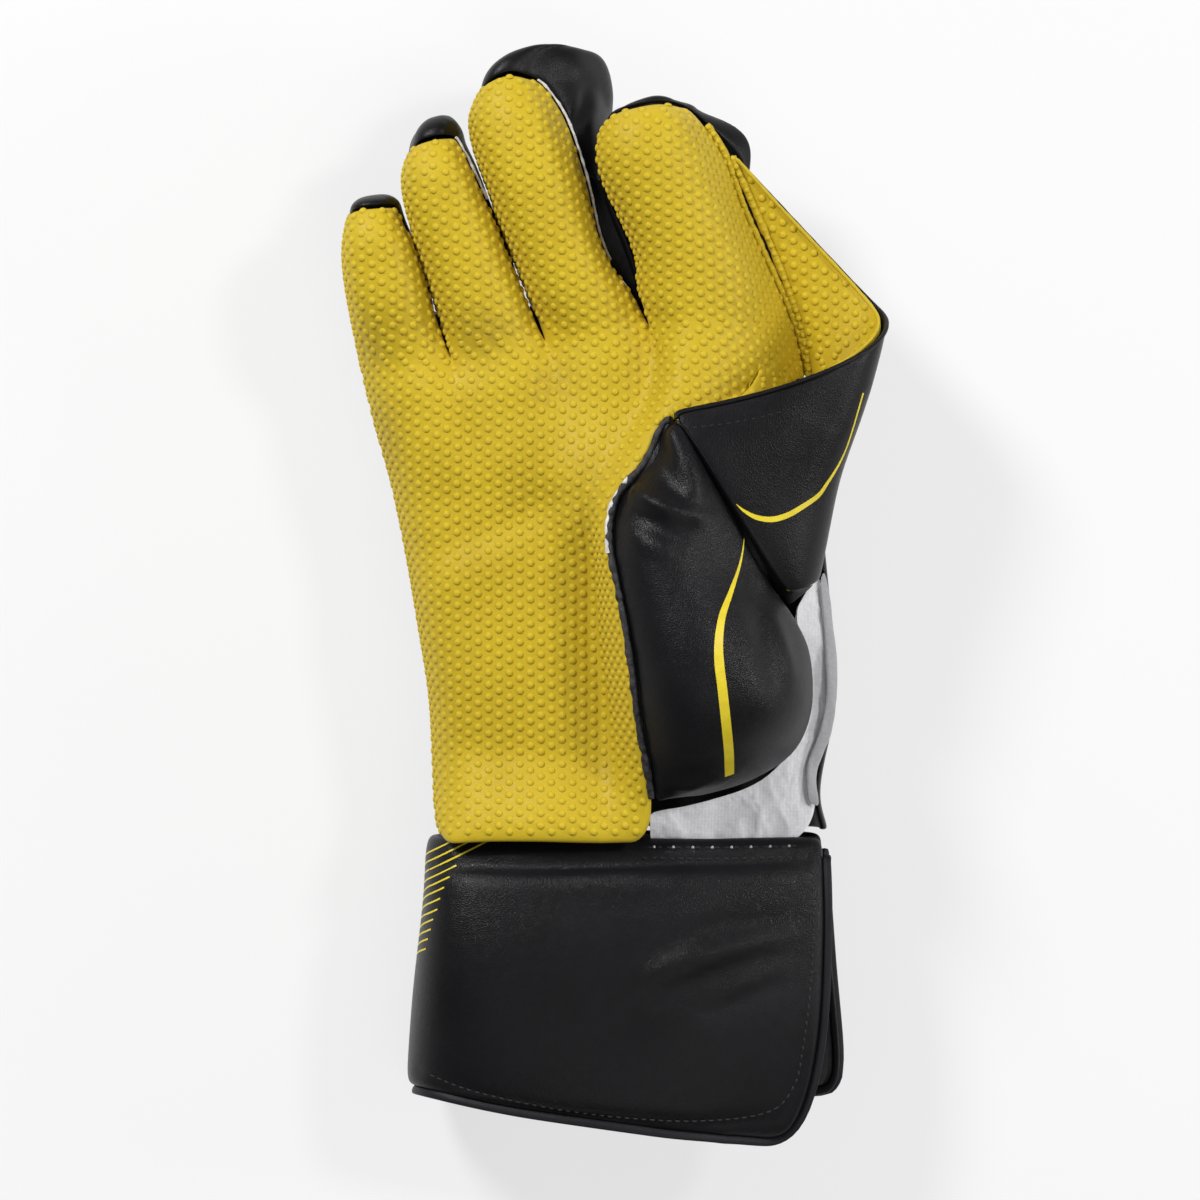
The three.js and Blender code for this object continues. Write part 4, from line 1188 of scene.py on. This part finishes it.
STITCH_SIZE = (1.05, 0.32, 0.34)
STITCH_GLINT_SIZE = (0.55, 0.38, 0.6)
WELT_SWELL = 0.45 * MM


def hatch_line(number, tree, x, y):
    run = [(x - far, y - far * HATCH_FALL) for far in HATCH_REACH]
    seen = [place for place in dropped(tree, run) if place[1].z > HATCH_TURN]
    ahead = seen[-1][0] - seen[-2][0]
    places = [*seen, *walk(tree, seen[-1][0], ahead, HATCH_WRAP)[1:]]
    return laid_stripe(f"hatch_{number}", places, [HATCH_WIDTH] * len(places))


def cuff():
    piece, face = sheet_of("cuff_padding", "cuff", CUFF_WALL, 3, PADDED_LEATHER, INNER_CLOTH)
    discard(face)
    press(piece, CUFF_FOLDS)
    ripple(piece, height=0.9, size=36, seed=9)
    tree = surface(piece)
    hand_in(piece, "black_leather", "cuff")
    lines = [hatch_line(number, tree, x, y) for number, (x, y) in enumerate(HATCH_ENDS)]
    hand_in(join("cuff_hatching", lines), "yellow_rubber", material=PRINT)
    rows = [sewn("stitches", laid_line(tree, line, 12), pitch * MM, STITCH_SIZE, BLACK_THREAD_AND_SEAM_SHADE)
            for line, pitch in ((UPPER_STITCHES, 3.0), (LOWER_STITCHES, 2.8), (WELT_STITCHES, 2.6))]
    hand_in(join("cuff_stitches", rows), "black_leather")
    # Pale dots along the upper row of stitches: painted highlights, the glints on its black thread.
    upper = laid_line(tree, UPPER_STITCHES, 12)
    pale = sewn("painted_stitch_glints", upper, 6.0 * MM, STITCH_GLINT_SIZE, PAINTED_STITCH_GLINTS)
    hand_in(pale, "white_cotton")
    return tree


def welt(cuff_tree):
    piece, work = merged("cuff_welt", "cuff_piping")
    in_quads(piece, work, math.radians(60))
    subdivide(piece, 2)
    move_points(piece, points_of(piece) + normals_of(piece) * WELT_SWELL)
    hug(piece, cuff_tree)
    hand_in(piece, "black_welt", "cuff_piping", material=WELT_LEATHER)


# The floor, light and camera

FLOOR_SIZE = 8
FLOOR_DROP = 1.5 * MM
FLOOR_GREY = 0.25
FLOOR_GLOW = 0.66
WORLD_STRENGTH = 0.15
FRAME_WIDTH = 0.369
FRAME_CENTRE = (-0.0046, -0.0004)
FRAME_HEIGHT = 0.05
CAMERA_HEIGHT = 2.4
# Each light: its name, its place, what it is turned to, its size and its power.
LIGHTS = (
    ("key", (-1.0, 1.15, 1.25), (0, 0, 0.03), 0.5, 34),
    ("fill", (0.35, -0.9, 1.9), (0, 0, 0), 1.2, 7),
    ("sheen", (1.35, 0.75, 1.7), (0.03, -0.08, 0.04), 0.35, 17),
    ("side", (1.3, 0.1, 0.5), (0.02, -0.02, 0.03), 0.4, 6),
)


def stage():
    bpy.ops.mesh.primitive_plane_add(size=FLOOR_SIZE, location=(0, 0, -FLOOR_DROP))
    floor = bpy.context.object
    floor.name = "pale_floor"
    material, _, shader, _ = new_material("pale floor", Roughness=0.9, Specular_IOR_Level=0.1)
    shader.inputs["Base Color"].default_value = (FLOOR_GREY, FLOOR_GREY, FLOOR_GREY, 1)
    shader.inputs["Emission Color"].default_value = (1, 1, 1, 1)
    shader.inputs["Emission Strength"].default_value = FLOOR_GLOW
    floor.data.materials.append(material)


def soft_light(name, place, target, size, energy):
    bpy.ops.object.light_add(type="AREA", location=place)
    light = bpy.context.object
    light.name = name
    light.data.shape = "DISK"
    light.data.size = size
    light.data.energy = energy
    light.rotation_euler = (Vector(target) - Vector(place)).to_track_quat("-Z", "Y").to_euler()


def look():
    world = bpy.data.worlds.new("studio")
    world.use_nodes = True
    background = world.node_tree.nodes["Background"]
    background.inputs["Color"].default_value = (1, 1, 1, 1)
    background.inputs["Strength"].default_value = WORLD_STRENGTH
    bpy.context.scene.world = world
    bpy.context.scene.view_settings.view_transform = "Standard"
    for light in LIGHTS:
        soft_light(*light)
    bpy.ops.object.camera_add(location=(*FRAME_CENTRE, CAMERA_HEIGHT))
    camera = bpy.context.object
    camera.name = "camera"
    camera.data.lens = camera.data.sensor_width * (CAMERA_HEIGHT - FRAME_HEIGHT) / FRAME_WIDTH
    camera.data.clip_end = 20
    bpy.context.scene.camera = camera


palm_face = palm()
pocket_face, web_face, web_tree = web()
web_details(pocket_face, web_face, web_tree)
finger_backs()
back_face = back_of_hand()
knuckles(back_face)
thumb_face = thumb()
finger_seams(palm_face, pocket_face)
thumb_seam(palm_face, thumb_face)
web_seam(thumb_face, web_face)
gusset()
tape()
welt(cuff())
for spare in (palm_face, pocket_face, web_face, back_face, thumb_face):
    discard(spare)
stage()
look()
